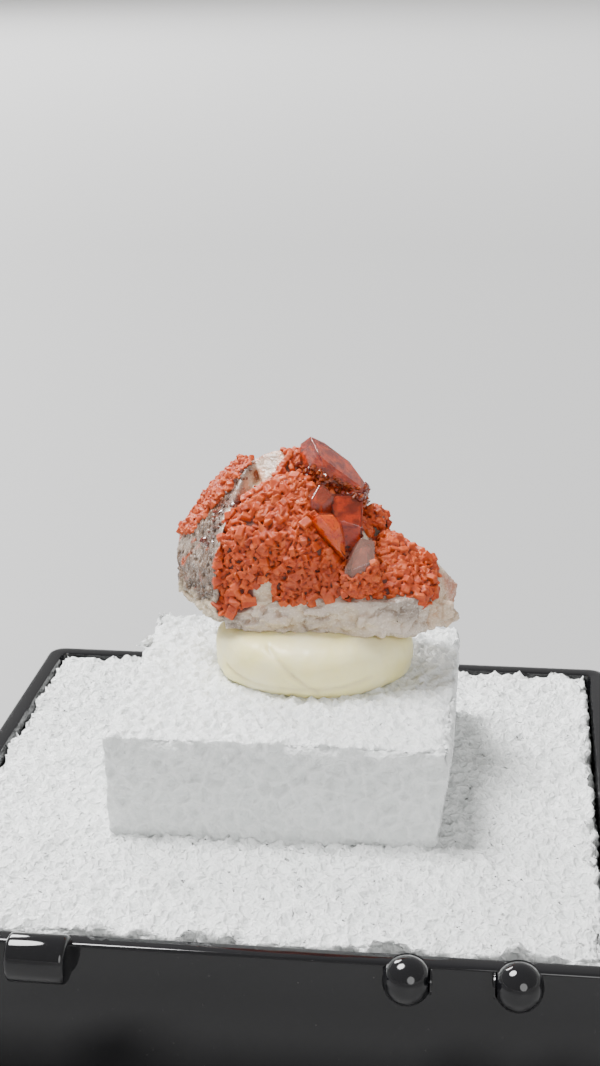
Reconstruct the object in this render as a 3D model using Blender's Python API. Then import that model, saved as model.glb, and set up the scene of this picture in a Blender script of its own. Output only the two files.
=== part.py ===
"""Hematoid quartz cluster, a thumbnail mineral specimen in the base of a small hinged display box.

Frame: +X right, +Y back, +Z up, origin at the middle of the box base's underside.
Shape values are millimetres and become metres where the shapes are made.
"""
import math
import random

import bmesh
import bpy
from mathutils import Matrix, Vector, noise
from mathutils.bvhtree import BVHTree

MM = 0.001
OBJECT_NAME = "hematoid_quartz_cluster"

# The clearance between pieces that touch
GAP = 0.3

# Box base, a tray with its half of the hinge
BED_SIDE = 46.0
WALL = 1.3
FLOOR = 1.5
TRAY_INNER = BED_SIDE + 2 * GAP
TRAY_OUTER = TRAY_INNER + 2 * WALL
RIM_Z = 10.0
CORNER_RADIUS = 1.2
CORNER_STEPS = 3
HINGE_Y = -TRAY_OUTER / 2 - 0.7
HINGE_Z = 9.3
KNUCKLE_DIAMETER = 3.15
KNUCKLE_BALLS_X = (10.55, 17.5)
BARREL_X = (-14.95, -11.0)

# Foam bed and the block of foam that stands on it
BED_BOTTOM_Z = FLOOR + GAP
BED_TOP_Z = 10.2
RISER_BOTTOM_Z = BED_TOP_Z + GAP
RISER_TOP_Z = 17.5
RISER_FOOT = ((-11.8, -9.9), (11.6, -9.6), (12.0, 14.0), (-12.2, 15.0))
RISER_HEAD = ((-12.2, -9.3), (12.6, -9.2), (12.3, 14.4), (-12.6, 15.4))

# Mineral tack, a pad of putty between the block and the stone
TACK_CENTRE = (1.3, 5.2)
TACK_RADII = (7.6, 6.5)
TACK_BOTTOM_Z = RISER_TOP_Z + GAP
TACK_TOP_Z = 21.3
TACK_BULGE = 4.0

# The stone. Its own values are measured from the seat, the point on the tack that it sits over
SEAT = Vector((1.4, 5.9, TACK_TOP_Z + GAP))
STONE_EDGE = 1.9
STONE_ROUGHNESS = 0.22
STONE_GRAIN = 1.7
STONE_GRAIN_SHIFT = (7.3, 3.1)
SEAT_CUT_DEPTH = 6.0
SEAT_CUT_MARGIN = 1.0

# Each mass of white quartz, as the corners of its cleaved faces
MASSES = {
    "left_shoulder": (
        (-7.1, -3.7, 0.3), (-9.4, -0.6, 0.2), (-10.9, 0.9, 1.0), (-11.2, 2.0, 2.7), (-11.1, 3.5, 5.1),
        (-10.3, 4.1, 6.7), (-7.9, 4.1, 9.6), (-6.3, 3.5, 11.3), (-5.2, 2.3, 11.3), (-6.2, 0.0, 9.2),
        (-6.8, -2.1, 7.1), (-7.2, -3.5, 4.5), (-10.0, 6.5, 2.7), (-7.5, 7.5, 5.2), (-5.4, 6.5, 9.8),
        (-7.9, 6.5, 0.5), (-3.1, 0.0, -0.2), (-3.1, 6.3, 3.1),
    ),
    "core": (
        (-6.5, -3.8, -0.2), (1.6, -4.1, -0.2), (4.4, -3.9, 1.9), (-6.5, -3.0, 6.3), (-5.4, -1.3, 8.7),
        (-4.1, 0.0, 10.1), (-1.0, -0.4, 10.7), (1.5, -0.9, 9.8), (2.1, -3.4, 5.4), (0.3, -3.5, 7.5),
        (-4.7, -3.7, 5.2), (4.0, -0.5, 6.5), (4.2, 5.2, 5.4), (1.6, 5.6, 9.0), (-4.7, 6.5, 10.0),
        (-5.2, 7.3, 4.2), (4.0, 6.7, 2.1), (-5.2, 6.3, -0.2), (3.5, 5.6, -0.2),
    ),
    "knob": (
        (-5.1, 2.7, 11.2), (-3.5, 2.6, 12.1), (-1.6, 2.2, 12.1), (-4.1, 0.3, 10.1), (-1.0, 0.4, 10.4),
        (-3.3, 5.4, 11.1), (-1.0, 5.1, 11.1), (-5.0, 4.2, 9.4), (0.5, 4.2, 8.9), (0.5, 0.6, 8.9),
    ),
    "front_slab": (
        (-4.9, -4.1, -0.2), (6.9, -4.2, -0.2), (-4.2, -4.2, 2.2), (6.3, -4.3, 2.7), (8.2, -3.3, 2.7),
        (8.3, -2.5, -0.3), (10.9, 1.4, -0.9), (10.4, 1.6, 0.4), (10.0, 1.6, 2.3), (9.8, 4.6, -0.6),
        (8.6, 5.1, 2.1), (4.2, 6.7, -0.2), (-4.2, 6.2, -0.2), (-4.2, 6.2, 2.1),
    ),
    "right_wedge": (
        (3.1, -3.8, 2.7), (8.1, -3.1, 2.7), (4.8, -2.1, 4.8), (5.5, 0.2, 6.3), (6.7, 0.3, 5.2),
        (7.9, 0.5, 4.8), (9.1, 0.6, 4.3), (9.7, 1.1, 3.2), (10.7, 1.6, 2.0), (10.8, 1.7, 1.3),
        (10.4, 1.6, 0.3), (9.3, 5.0, 2.4), (7.1, 5.6, 3.1), (4.2, 5.6, 4.8), (3.1, 5.8, 1.0),
        (7.3, 5.6, 0.4),
    ),
}

# The side of the cube that each larger crystal is cut from
ROUGH_SIDE = 30.0

# Each larger crystal: its middle, then its flat faces as compass angle, rise and distance from the middle
CRYSTALS = {
    "tall_amber": (
        (1.25, 1.88, 8.35),
        (
            (-8, 45, 2.64), (-144, 13, 3.04), (-63, 0, 1.77), (57, 46, 3.13), (18, 34, 2.71),
            (0, 0, 2.24), (-170, 5, 2.92), (-120, -4, 2.09), (100, 50, 3.76), (95, 0, 2.5),
            (140, 10, 3.13), (0, -90, 5.22),
        ),
    ),
    "second_amber": (
        (2.5, -0.83, 7.3),
        (
            (-61, 45, 1.83), (-87, 44, 2.07), (-175, 30, 2.09), (-82, 0, 1.84), (5, 0, 1.12),
            (50, 50, 2.3), (110, 50, 1.98), (-160, 0, 1.43), (90, 0, 1.57), (0, -90, 3.13),
        ),
    ),
    "small_mauve": (
        (0.52, -1.46, 8.85),
        (
            (-70, 45, 1.2), (-160, 45, 1.3), (20, 40, 1.36), (-100, -5, 0.94), (-40, 0, 0.89),
            (-160, 0, 0.89), (20, 0, 0.89), (80, 0, 0.94), (100, 45, 1.36), (0, -90, 3.13),
        ),
    ),
    "bright_amber": (
        (1.67, -3.03, 7.51),
        (
            (-42, 62, 1.36), (-34, 52, 1.02), (-125, -10, 0.97), (-23, 18, 0.89), (-145, -35, 0.85),
            (11, 39, 0.8), (0, 16, 0.69), (10, 0, 0.78), (-160, 10, 1.93), (120, 50, 1.25),
            (70, 0, 1.25), (0, -90, 2.3),
        ),
    ),
    "clear_front": (
        (3.34, -2.92, 5.22),
        (
            (-92, 41, 1.45), (-31, 46, 1.73), (-73, 0, 1.77), (-99, 0, 1.85), (-175, 32, 0.73),
            (180, 0, 0.69), (100, 45, 1.21), (5, 0, 1.36), (90, 0, 1.36), (0, -90, 2.71),
        ),
    ),
    "back_clear": (
        (4.07, 3.55, 4.8),
        (
            (-80, 48, 1.83), (40, 45, 2.09), (160, 45, 1.98), (-140, 48, 1.98), (-20, 50, 2.09),
            (-80, 0, 0.99), (-20, 0, 0.94), (40, 0, 0.99), (100, 0, 0.99), (160, 0, 0.94),
            (-140, 0, 0.99), (0, -90, 3.13),
        ),
    ),
    "rear_amber": (
        (-1.67, 5.43, 7.93),
        (
            (75, 45, 1.98), (-50, 45, 2.09), (170, 42, 1.88), (75, 4, 1.46), (15, 0, 1.25),
            (135, 0, 1.25), (195, 0, 1.25), (-40, 0, 1.25), (0, -90, 3.13),
        ),
    ),
}

# Where the crust of small red crystals grows: seen from a compass angle and height, the outline
# in the plane through the stone's middle, in millimetres right and up, and the crystals' size.
# The second list grows on the larger crystals
STONE_MIDDLE = Vector((-0.32, -1.57, 6.74))
VIEW_DISTANCE = 136.4
FRONT = (6.6, 18.7)
CRUSTS = {
    "front": (FRONT, 0.95, (
        (-3.5, 3.9), (-2.0, 4.4), (-0.6, 4.3), (0.0, 2.6), (-0.1, 1.5), (0.6, 0.2), (1.6, -1.1),
        (2.7, -2.0), (2.7, -4.6), (0.6, -4.8), (-1.8, -5.2), (-2.6, -4.9), (-2.7, -3.5), (-3.5, -3.2),
        (-4.1, -4.1), (-4.0, -5.6), (-5.2, -6.3), (-6.9, -6.3), (-7.0, -2.2), (-6.6, -0.3),
        (-6.1, 1.1), (-5.2, 2.6),
    )),
    "right": (FRONT, 0.85, (
        (2.7, -3.0), (3.2, -3.1), (4.9, -2.3), (5.2, -0.8), (5.7, -0.1), (6.4, -0.3), (7.0, -1.4),
        (8.5, -1.5), (9.6, -2.2), (9.7, -4.2), (9.1, -5.2), (8.1, -5.0), (7.4, -4.5), (4.6, -4.6),
        (2.7, -4.7),
    )),
    "upper_left": (FRONT, 0.75, (
        (-9.5, 0.5), (-8.6, 1.9), (-6.6, 4.5), (-5.1, 5.7), (-4.3, 5.5), (-5.0, 4.1), (-6.4, 2.4),
        (-8.1, 0.0),
    )),
    "back_left": ((150.0, 35.0), 1.0, (
        (-4.7, 4.2), (-1.0, 5.2), (3.1, 3.8), (5.8, 0.6), (3.5, -1.7), (0.4, 0.2), (-2.7, -0.6),
        (-5.4, 0.6),
    )),
    "back_right": ((205.0, 30.0), 0.9, (
        (-9.0, -1.3), (-6.7, 0.8), (-3.8, 1.0), (-2.9, -1.7), (-5.4, -3.5), (-8.3, -3.1),
    )),
}
CRYSTAL_CRUSTS = {
    "cavity": (FRONT, 0.6, (
        (-0.6, 4.7), (0.7, 4.8), (2.7, 3.8), (3.8, 3.2), (3.8, 2.8), (2.3, 2.8), (1.6, 3.9),
        (-0.1, 4.2),
    )),
}
CRUST_SPACING = 0.95
CRUST_SHAKE = 0.25
CRUST_LEAN = 0.6
CRUST_WIDTHS = (0.8, 1.25)
CRUST_DEPTHS = (0.7, 1.0)
CRUST_HEIGHTS = (0.8, 1.1)
CRUST_SEED = 14

# Flakes left standing on the broken lower edge: middle, size and turn about the vertical
FLAKES = (
    ((4.4, -4.3, 1.1), (1.7, 0.7, 0.9), 12),
    ((-2.7, -4.2, 0.9), (2.3, 0.5, 0.7), -8),
    ((0.9, -4.3, 1.7), (2.7, 0.5, 0.6), 4),
    ((7.2, -3.8, 1.4), (1.9, 0.7, 0.9), 30),
    ((9.7, 0.0, 0.7), (0.9, 2.0, 1.5), 35),
    ((-8.8, 1.7, 1.0), (1.7, 1.9, 0.8), 50),
    ((0.4, 6.5, 1.7), (3.5, 0.7, 0.9), -6),
    ((5.8, 5.8, 1.5), (2.3, 0.7, 0.8), -14),
)

# Base colour, roughness and metallic of each piece
FINISHES = {
    "box_base": ((0.010, 0.010, 0.011), 0.12, 0.0),
    "foam_bed": ((0.86, 0.88, 0.88), 0.75, 0.0),
    "foam_riser": ((0.84, 0.87, 0.88), 0.70, 0.0),
    "mineral_tack": ((0.80, 0.76, 0.60), 0.45, 0.0),
    "quartz_cluster": ((0.56, 0.20, 0.11), 0.40, 0.0),
}


def clear_scene():
    """Remove what the file opened with."""
    for item in list(bpy.data.objects):
        bpy.data.objects.remove(item, do_unlink=True)


def collection(name):
    """Make a collection in the scene."""
    made = bpy.data.collections.new(name)
    bpy.context.scene.collection.children.link(made)
    return made


def material(name):
    """Make the Principled material of one piece."""
    colour, roughness, metallic = FINISHES[name]
    made = bpy.data.materials.new(name)
    made.use_nodes = True
    shader = made.node_tree.nodes["Principled BSDF"]
    shader.inputs["Base Color"].default_value = (*colour, 1.0)
    shader.inputs["Roughness"].default_value = roughness
    shader.inputs["Metallic"].default_value = metallic
    return made


def add_object(name, bm, group):
    """Turn a bmesh in millimetres into an object in metres."""
    bmesh.ops.scale(bm, vec=(MM, MM, MM), verts=bm.verts)
    bmesh.ops.recalc_face_normals(bm, faces=bm.faces)
    mesh = bpy.data.meshes.new(name)
    bm.to_mesh(mesh)
    bm.free()
    made = bpy.data.objects.new(name, mesh)
    group.objects.link(made)
    return made


def add_cutter(name, bm, group):
    """Make a helper solid that isn't part of the object."""
    made = add_object(name, bm, group)
    made.hide_render = True
    made.display_type = "WIRE"
    return made


def combine(target, operation, operand, self_crossing=False):
    """Add an exact Boolean modifier with one object as its operand."""
    step = target.modifiers.new(operand.name, "BOOLEAN")
    step.operation = operation
    step.object = operand
    step.solver = "EXACT"
    step.use_self = self_crossing


def block(size, middle):
    """A box of the given size."""
    bm = bmesh.new()
    bmesh.ops.create_cube(bm, size=1.0, matrix=Matrix.Translation(middle) @ Matrix.Diagonal((*size, 1.0)))
    return bm


def hull(points):
    """The convex solid on a set of corners."""
    bm = bmesh.new()
    for point in points:
        bm.verts.new(point)
    found = bmesh.ops.convex_hull(bm, input=bm.verts)
    spare = {item for item in found["geom_interior"] + found["geom_unused"] if isinstance(item, bmesh.types.BMVert)}
    bmesh.ops.delete(bm, geom=list(spare), context="VERTS")
    return bm


def add_tray_bevel(tray):
    """Round the upright corners of the tray a little."""
    bm = bmesh.new()
    bm.from_mesh(tray.data)
    upright = [edge for edge in bm.edges if edge.verts[0].co.xy == edge.verts[1].co.xy]
    bmesh.ops.bevel(
        bm, geom=upright, offset=CORNER_RADIUS * MM, segments=CORNER_STEPS, affect="EDGES", profile=0.5
    )
    bm.to_mesh(tray.data)
    bm.free()


def make_box_base(parts, cutters):
    """The black tray with its two hinge balls and its hinge barrel."""
    tray = add_object("box_base", block((TRAY_OUTER, TRAY_OUTER, RIM_Z), (0, 0, RIM_Z / 2)), parts)
    add_tray_bevel(tray)
    depth = RIM_Z - FLOOR
    hollow = block((TRAY_INNER, TRAY_INNER, 2 * depth), (0, 0, FLOOR + depth))
    combine(tray, "DIFFERENCE", add_cutter("tray_hollow", hollow, cutters))

    radius = KNUCKLE_DIAMETER / 2
    for count, ball_x in enumerate(KNUCKLE_BALLS_X):
        ball = bmesh.new()
        place = Matrix.Translation((ball_x, HINGE_Y, HINGE_Z))
        bmesh.ops.create_uvsphere(ball, u_segments=20, v_segments=12, radius=radius, matrix=place)
        combine(tray, "UNION", add_cutter(f"hinge_ball_{count}", ball, cutters))
    low_x, high_x = BARREL_X
    barrel = bmesh.new()
    place = Matrix.Translation(((low_x + high_x) / 2, HINGE_Y, HINGE_Z))
    place = place @ Matrix.Rotation(math.radians(90), 4, "Y")
    bmesh.ops.create_cone(
        barrel, cap_ends=True, segments=24, radius1=radius, radius2=radius, depth=high_x - low_x, matrix=place
    )
    combine(tray, "UNION", add_cutter("hinge_barrel", barrel, cutters))
    return tray


def make_foam_bed(parts):
    """The square of foam that fills the tray."""
    height = BED_TOP_Z - BED_BOTTOM_Z
    return add_object("foam_bed", block((BED_SIDE, BED_SIDE, height), (0, 0, BED_BOTTOM_Z + height / 2)), parts)


def make_foam_riser(parts):
    """The rough-cut square block of foam."""
    foot = [(x, y, RISER_BOTTOM_Z) for x, y in RISER_FOOT]
    head = [(x, y, RISER_TOP_Z) for x, y in RISER_HEAD]
    return add_object("foam_riser", hull(foot + head), parts)


def make_tack(parts):
    """A squashed ball of putty, flat where it meets the foam and the stone."""
    bm = bmesh.new()
    middle_z = (TACK_BOTTOM_Z + TACK_TOP_Z) / 2
    place = Matrix.Translation((*TACK_CENTRE, middle_z)) @ Matrix.Diagonal((*TACK_RADII, TACK_BULGE, 1.0))
    bmesh.ops.create_uvsphere(bm, u_segments=32, v_segments=16, radius=1.0, matrix=place)
    for level, side in ((TACK_TOP_Z, 1.0), (TACK_BOTTOM_Z, -1.0)):
        cleave(bm, Vector((0, 0, level)), Vector((0, 0, side)))
    return add_object("mineral_tack", bm, parts)


def cleave(bm, point, normal):
    """Cut away what lies beyond a plane and close the cut."""
    cut = bmesh.ops.bisect_plane(
        bm, geom=bm.verts[:] + bm.edges[:] + bm.faces[:], plane_co=point, plane_no=normal, clear_outer=True
    )
    edges = [item for item in cut["geom_cut"] if isinstance(item, bmesh.types.BMEdge)]
    if edges:
        bmesh.ops.contextual_create(bm, geom=edges)


def heading(angle, rise):
    """The unit vector at a compass angle from +X and a rise above the level, in degrees."""
    flat = math.cos(math.radians(rise))
    turn = math.radians(angle)
    return Vector((math.cos(turn) * flat, math.sin(turn) * flat, math.sin(math.radians(rise))))


def crystal(middle, faces):
    """A crystal cut from a cube by its flat faces."""
    bm = bmesh.new()
    centre = SEAT + Vector(middle)
    bmesh.ops.create_cube(bm, size=ROUGH_SIDE, matrix=Matrix.Translation(centre))
    for angle, rise, distance in faces:
        normal = heading(angle, rise)
        cleave(bm, centre + normal * distance, normal)
    return bm


def mass(corners, seed):
    """A cleaved lump of quartz with a rough surface."""
    bm = hull([SEAT + Vector(corner) for corner in corners])
    while True:
        long_edges = [edge for edge in bm.edges if edge.calc_length() > STONE_EDGE]
        if not long_edges:
            break
        bmesh.ops.subdivide_edges(bm, edges=long_edges, cuts=1)
        bmesh.ops.triangulate(bm, faces=bm.faces)
    bm.normal_update()
    shift_x, shift_y = STONE_GRAIN_SHIFT
    shift = Vector((seed * shift_x, seed * shift_y, 0.0))
    moves = []
    for vert in bm.verts:
        moves.append(vert.normal * noise.noise(vert.co / STONE_GRAIN + shift) * STONE_ROUGHNESS)
    for vert, move in zip(bm.verts, moves):
        vert.co += move
    return bm


def view_frame(view):
    """The eye, right and up of a view of the stone."""
    angle, height = view
    out = heading(angle - 90.0, height)
    right = Vector((-out.y, out.x, 0.0)).normalized()
    return SEAT + STONE_MIDDLE + out * VIEW_DISTANCE, right, out.cross(right)


def inside(point, outline):
    """Whether a point lies in an outline, by counting the edges to its right."""
    x, y = point
    crossings = 0
    for (ax, ay), (bx, by) in zip(outline, outline[1:] + outline[:1]):
        if (ay > y) != (by > y) and x < ax + (y - ay) / (by - ay) * (bx - ax):
            crossings += 1
    return crossings % 2 == 1


def crust_points(outline, spacing, chance):
    """Shaken grid points inside an outline."""
    lefts = [corner[0] for corner in outline]
    ups = [corner[1] for corner in outline]
    rows = int((max(ups) - min(ups)) / spacing) + 2
    columns = int((max(lefts) - min(lefts)) / spacing) + 2
    for row in range(rows):
        for column in range(columns):
            x = min(lefts) + (column + 0.5 * (row % 2) + chance.uniform(-CRUST_SHAKE, CRUST_SHAKE)) * spacing
            y = min(ups) + (row + chance.uniform(-CRUST_SHAKE, CRUST_SHAKE)) * spacing
            if inside((x, y), outline):
                yield x, y


def surface_tree(item):
    """What a ray can hit on an object, with its modifiers, in millimetres."""
    evaluated = item.evaluated_get(bpy.context.evaluated_depsgraph_get())
    bm = bmesh.new()
    bm.from_mesh(evaluated.to_mesh())
    bmesh.ops.scale(bm, vec=(1 / MM, 1 / MM, 1 / MM), verts=bm.verts)
    tree = BVHTree.FromBMesh(bm)
    bm.free()
    return tree


def add_crust(bm, tree, crusts, chance):
    """Seat blocky little crystals wherever the crust's outlines fall on the surface."""
    for view, size, outline in crusts.values():
        eye, right, up = view_frame(view)
        plane_middle = SEAT + STONE_MIDDLE
        for x, y in crust_points(outline, CRUST_SPACING * size, chance):
            ray = (plane_middle + right * x + up * y - eye).normalized()
            hit, normal, _, _ = tree.ray_cast(eye, ray)
            if hit is None:
                continue
            width = size * chance.uniform(*CRUST_WIDTHS)
            lean = Vector([chance.uniform(-CRUST_LEAN, CRUST_LEAN) for _ in range(3)])
            turn = (normal + lean).to_track_quat("Z", "Y").to_matrix().to_4x4()
            spin = Matrix.Rotation(chance.uniform(0.0, math.tau), 4, "Z")
            depth = width * chance.uniform(*CRUST_DEPTHS)
            height = width * chance.uniform(*CRUST_HEIGHTS)
            shape = Matrix.Diagonal((width, depth, height, 1.0))
            bmesh.ops.create_cube(bm, size=1.0, matrix=Matrix.Translation(hit) @ turn @ spin @ shape)


def linked_faces(start):
    """The faces that one face is joined to, itself included."""
    found = {start}
    waiting = [start]
    while waiting:
        for edge in waiting.pop().edges:
            for face in edge.link_faces:
                if face not in found:
                    found.add(face)
                    waiting.append(face)
    return found


def keep_outer_shell(item):
    """Settle the modifiers, then drop the pockets sealed between the crystals."""
    evaluated = item.evaluated_get(bpy.context.evaluated_depsgraph_get())
    mesh = bpy.data.meshes.new_from_object(evaluated)
    bm = bmesh.new()
    bm.from_mesh(mesh)
    outer = linked_faces(max(bm.faces, key=lambda face: face.calc_center_median().z))
    pockets = [face for face in bm.faces if face not in outer]
    bmesh.ops.delete(bm, geom=pockets, context="FACES")
    bmesh.ops.triangulate(bm, faces=bm.faces)
    bm.to_mesh(mesh)
    bm.free()
    item.modifiers.clear()
    item.data = mesh


def make_cluster(parts, cutters):
    """The stone: white quartz, its larger crystals, its flakes and its red crust, grown as one."""
    chance = random.Random(CRUST_SEED)
    names = list(MASSES)
    stone = add_object("quartz_cluster", mass(MASSES[names[0]], 0), parts)
    for seed, name in enumerate(names[1:], start=1):
        combine(stone, "UNION", add_cutter(name, mass(MASSES[name], seed), cutters))
    small = bmesh.new()
    add_crust(small, surface_tree(stone), CRUSTS, chance)
    for name, (middle, faces) in CRYSTALS.items():
        combine(stone, "UNION", add_cutter(name, crystal(middle, faces), cutters))
    add_crust(small, surface_tree(stone), CRYSTAL_CRUSTS, chance)
    for middle, size, turn in FLAKES:
        place = Matrix.Translation(SEAT + Vector(middle)) @ Matrix.Rotation(math.radians(turn), 4, "Z")
        bmesh.ops.create_cube(small, size=1.0, matrix=place @ Matrix.Diagonal((*size, 1.0)))
    combine(stone, "UNION", add_cutter("crust_and_flakes", small, cutters), self_crossing=True)

    width, depth = (2 * (radius + SEAT_CUT_MARGIN) for radius in TACK_RADII)
    under = block((width, depth, SEAT_CUT_DEPTH), (*TACK_CENTRE, SEAT.z - SEAT_CUT_DEPTH / 2))
    combine(stone, "DIFFERENCE", add_cutter("seat_cut", under, cutters))
    keep_outer_shell(stone)
    return stone


def main():
    clear_scene()
    parts = collection(OBJECT_NAME)
    cutters = collection("cutters")
    pieces = [
        make_box_base(parts, cutters),
        make_foam_bed(parts),
        make_foam_riser(parts),
        make_tack(parts),
        make_cluster(parts, cutters),
    ]
    for piece in pieces:
        piece.data.materials.append(material(piece.name))
    for helper in cutters.objects:
        helper.hide_set(True)


main()
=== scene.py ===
"""Looks of the hematoid quartz cluster: the stone on its putty and foam, in the base of its display box.

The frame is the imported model's: metres, +X right, +Y back, +Z up, origin at the middle of the base's
underside. Shape values are millimetres and become metres where a mesh is made.
"""
import itertools
import math
import random

import bmesh
import bpy
import numpy as np
from mathutils import Matrix, Vector
from mathutils.bvhtree import BVHTree
from mathutils.kdtree import KDTree


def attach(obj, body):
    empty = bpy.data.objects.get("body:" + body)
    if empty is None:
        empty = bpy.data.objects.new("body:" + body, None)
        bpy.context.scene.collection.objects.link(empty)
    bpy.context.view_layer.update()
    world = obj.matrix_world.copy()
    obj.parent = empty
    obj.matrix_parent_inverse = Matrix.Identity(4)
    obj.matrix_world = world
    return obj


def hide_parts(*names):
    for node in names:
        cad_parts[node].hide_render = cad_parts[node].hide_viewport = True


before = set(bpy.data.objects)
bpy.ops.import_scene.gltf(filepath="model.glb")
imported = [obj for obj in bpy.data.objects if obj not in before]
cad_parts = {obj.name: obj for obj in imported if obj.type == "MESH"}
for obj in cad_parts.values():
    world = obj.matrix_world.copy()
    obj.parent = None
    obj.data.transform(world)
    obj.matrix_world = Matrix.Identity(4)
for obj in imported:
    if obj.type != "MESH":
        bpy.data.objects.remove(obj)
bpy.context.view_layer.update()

MM = 0.001

# The camera, as measured from the photograph
CAMERA_PLACE = (15.92, -123.97, 71.98)
CAMERA_YAW = -6.9
CAMERA_PITCH = -18.6
CAMERA_ROLL = -0.3
CAMERA_LENS = 61.4

# Box base
TRAY_INNER = 46.6
TRAY_OUTER = 49.2
FLOOR = 1.5
RIM_Z = 10.0
CORNER_RADIUS = 1.2
HINGE_Y = -25.3
HINGE_Z = 9.3
KNUCKLE_DIAMETER = 3.15
KNUCKLE_BALLS_X = (10.55, 17.5)
BARREL_X = (-14.95, -11.0)

# Foam bed and the block of foam that stands on it
BED_SIDE = 46.0
BED_BOTTOM_Z = 1.8
BED_TOP_Z = 10.2
RISER_TOP_Z = 17.5
RISER_FOOT = ((-11.8, -9.9), (11.6, -9.6), (12.0, 14.0), (-12.2, 15.0))
RISER_HEAD = ((-12.2, -9.3), (12.6, -9.2), (12.3, 14.4), (-12.6, 15.4))

# Putty
TACK_CENTRE = (1.3, 5.2)
TACK_RADII = (7.6, 6.5)
TACK_TOP_Z = 21.3

# The stone. Its own values are measured from the seat, the point on the putty that it sits over
SEAT = Vector((1.4, 5.9, 21.6))

# Each mass of white quartz, as the corners of its cleaved faces
MASSES = {
    "left_shoulder": (
        (-7.1, -3.7, 0.3), (-9.4, -0.6, 0.2), (-10.9, 0.9, 1.0), (-11.2, 2.0, 2.7), (-11.1, 3.5, 5.1),
        (-10.3, 4.1, 6.7), (-7.9, 4.1, 9.6), (-6.3, 3.5, 11.3), (-5.2, 2.3, 11.3), (-6.2, 0.0, 9.2),
        (-6.8, -2.1, 7.1), (-7.2, -3.5, 4.5), (-10.0, 6.5, 2.7), (-7.5, 7.5, 5.2), (-5.4, 6.5, 9.8),
        (-7.9, 6.5, 0.5), (-3.1, 0.0, -0.2), (-3.1, 6.3, 3.1),
    ),
    "core": (
        (-6.5, -3.8, -0.2), (1.6, -4.1, -0.2), (4.4, -3.9, 1.9), (-6.5, -3.0, 6.3), (-5.4, -1.3, 8.7),
        (-4.1, 0.0, 10.1), (-1.0, -0.4, 10.7), (1.5, -0.9, 9.8), (2.1, -3.4, 5.4), (0.3, -3.5, 7.5),
        (-4.7, -3.7, 5.2), (4.0, -0.5, 6.5), (4.2, 5.2, 5.4), (1.6, 5.6, 9.0), (-4.7, 6.5, 10.0),
        (-5.2, 7.3, 4.2), (4.0, 6.7, 2.1), (-5.2, 6.3, -0.2), (3.5, 5.6, -0.2),
    ),
    "knob": (
        (-5.1, 2.7, 11.2), (-3.5, 2.6, 12.1), (-1.6, 2.2, 12.1), (-4.1, 0.3, 10.1), (-1.0, 0.4, 10.4),
        (-3.3, 5.4, 11.1), (-1.0, 5.1, 11.1), (-5.0, 4.2, 9.4), (0.5, 4.2, 8.9), (0.5, 0.6, 8.9),
    ),
    "front_slab": (
        (-4.9, -4.1, -0.2), (6.9, -4.2, -0.2), (-4.2, -4.2, 2.2), (6.3, -4.3, 2.7), (8.2, -3.3, 2.7),
        (8.3, -2.5, -0.3), (10.9, 1.4, -0.9), (10.4, 1.6, 0.4), (10.0, 1.6, 2.3), (9.8, 4.6, -0.6),
        (8.6, 5.1, 2.1), (4.2, 6.7, -0.2), (-4.2, 6.2, -0.2), (-4.2, 6.2, 2.1),
    ),
    "right_wedge": (
        (3.1, -3.8, 2.7), (8.1, -3.1, 2.7), (4.8, -2.1, 4.8), (5.5, 0.2, 6.3), (6.7, 0.3, 5.2),
        (7.9, 0.5, 4.8), (9.1, 0.6, 4.3), (9.7, 1.1, 3.2), (10.7, 1.6, 2.0), (10.8, 1.7, 1.3),
        (10.4, 1.6, 0.3), (9.3, 5.0, 2.4), (7.1, 5.6, 3.1), (4.2, 5.6, 4.8), (3.1, 5.8, 1.0),
        (7.3, 5.6, 0.4),
    ),
}

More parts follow.
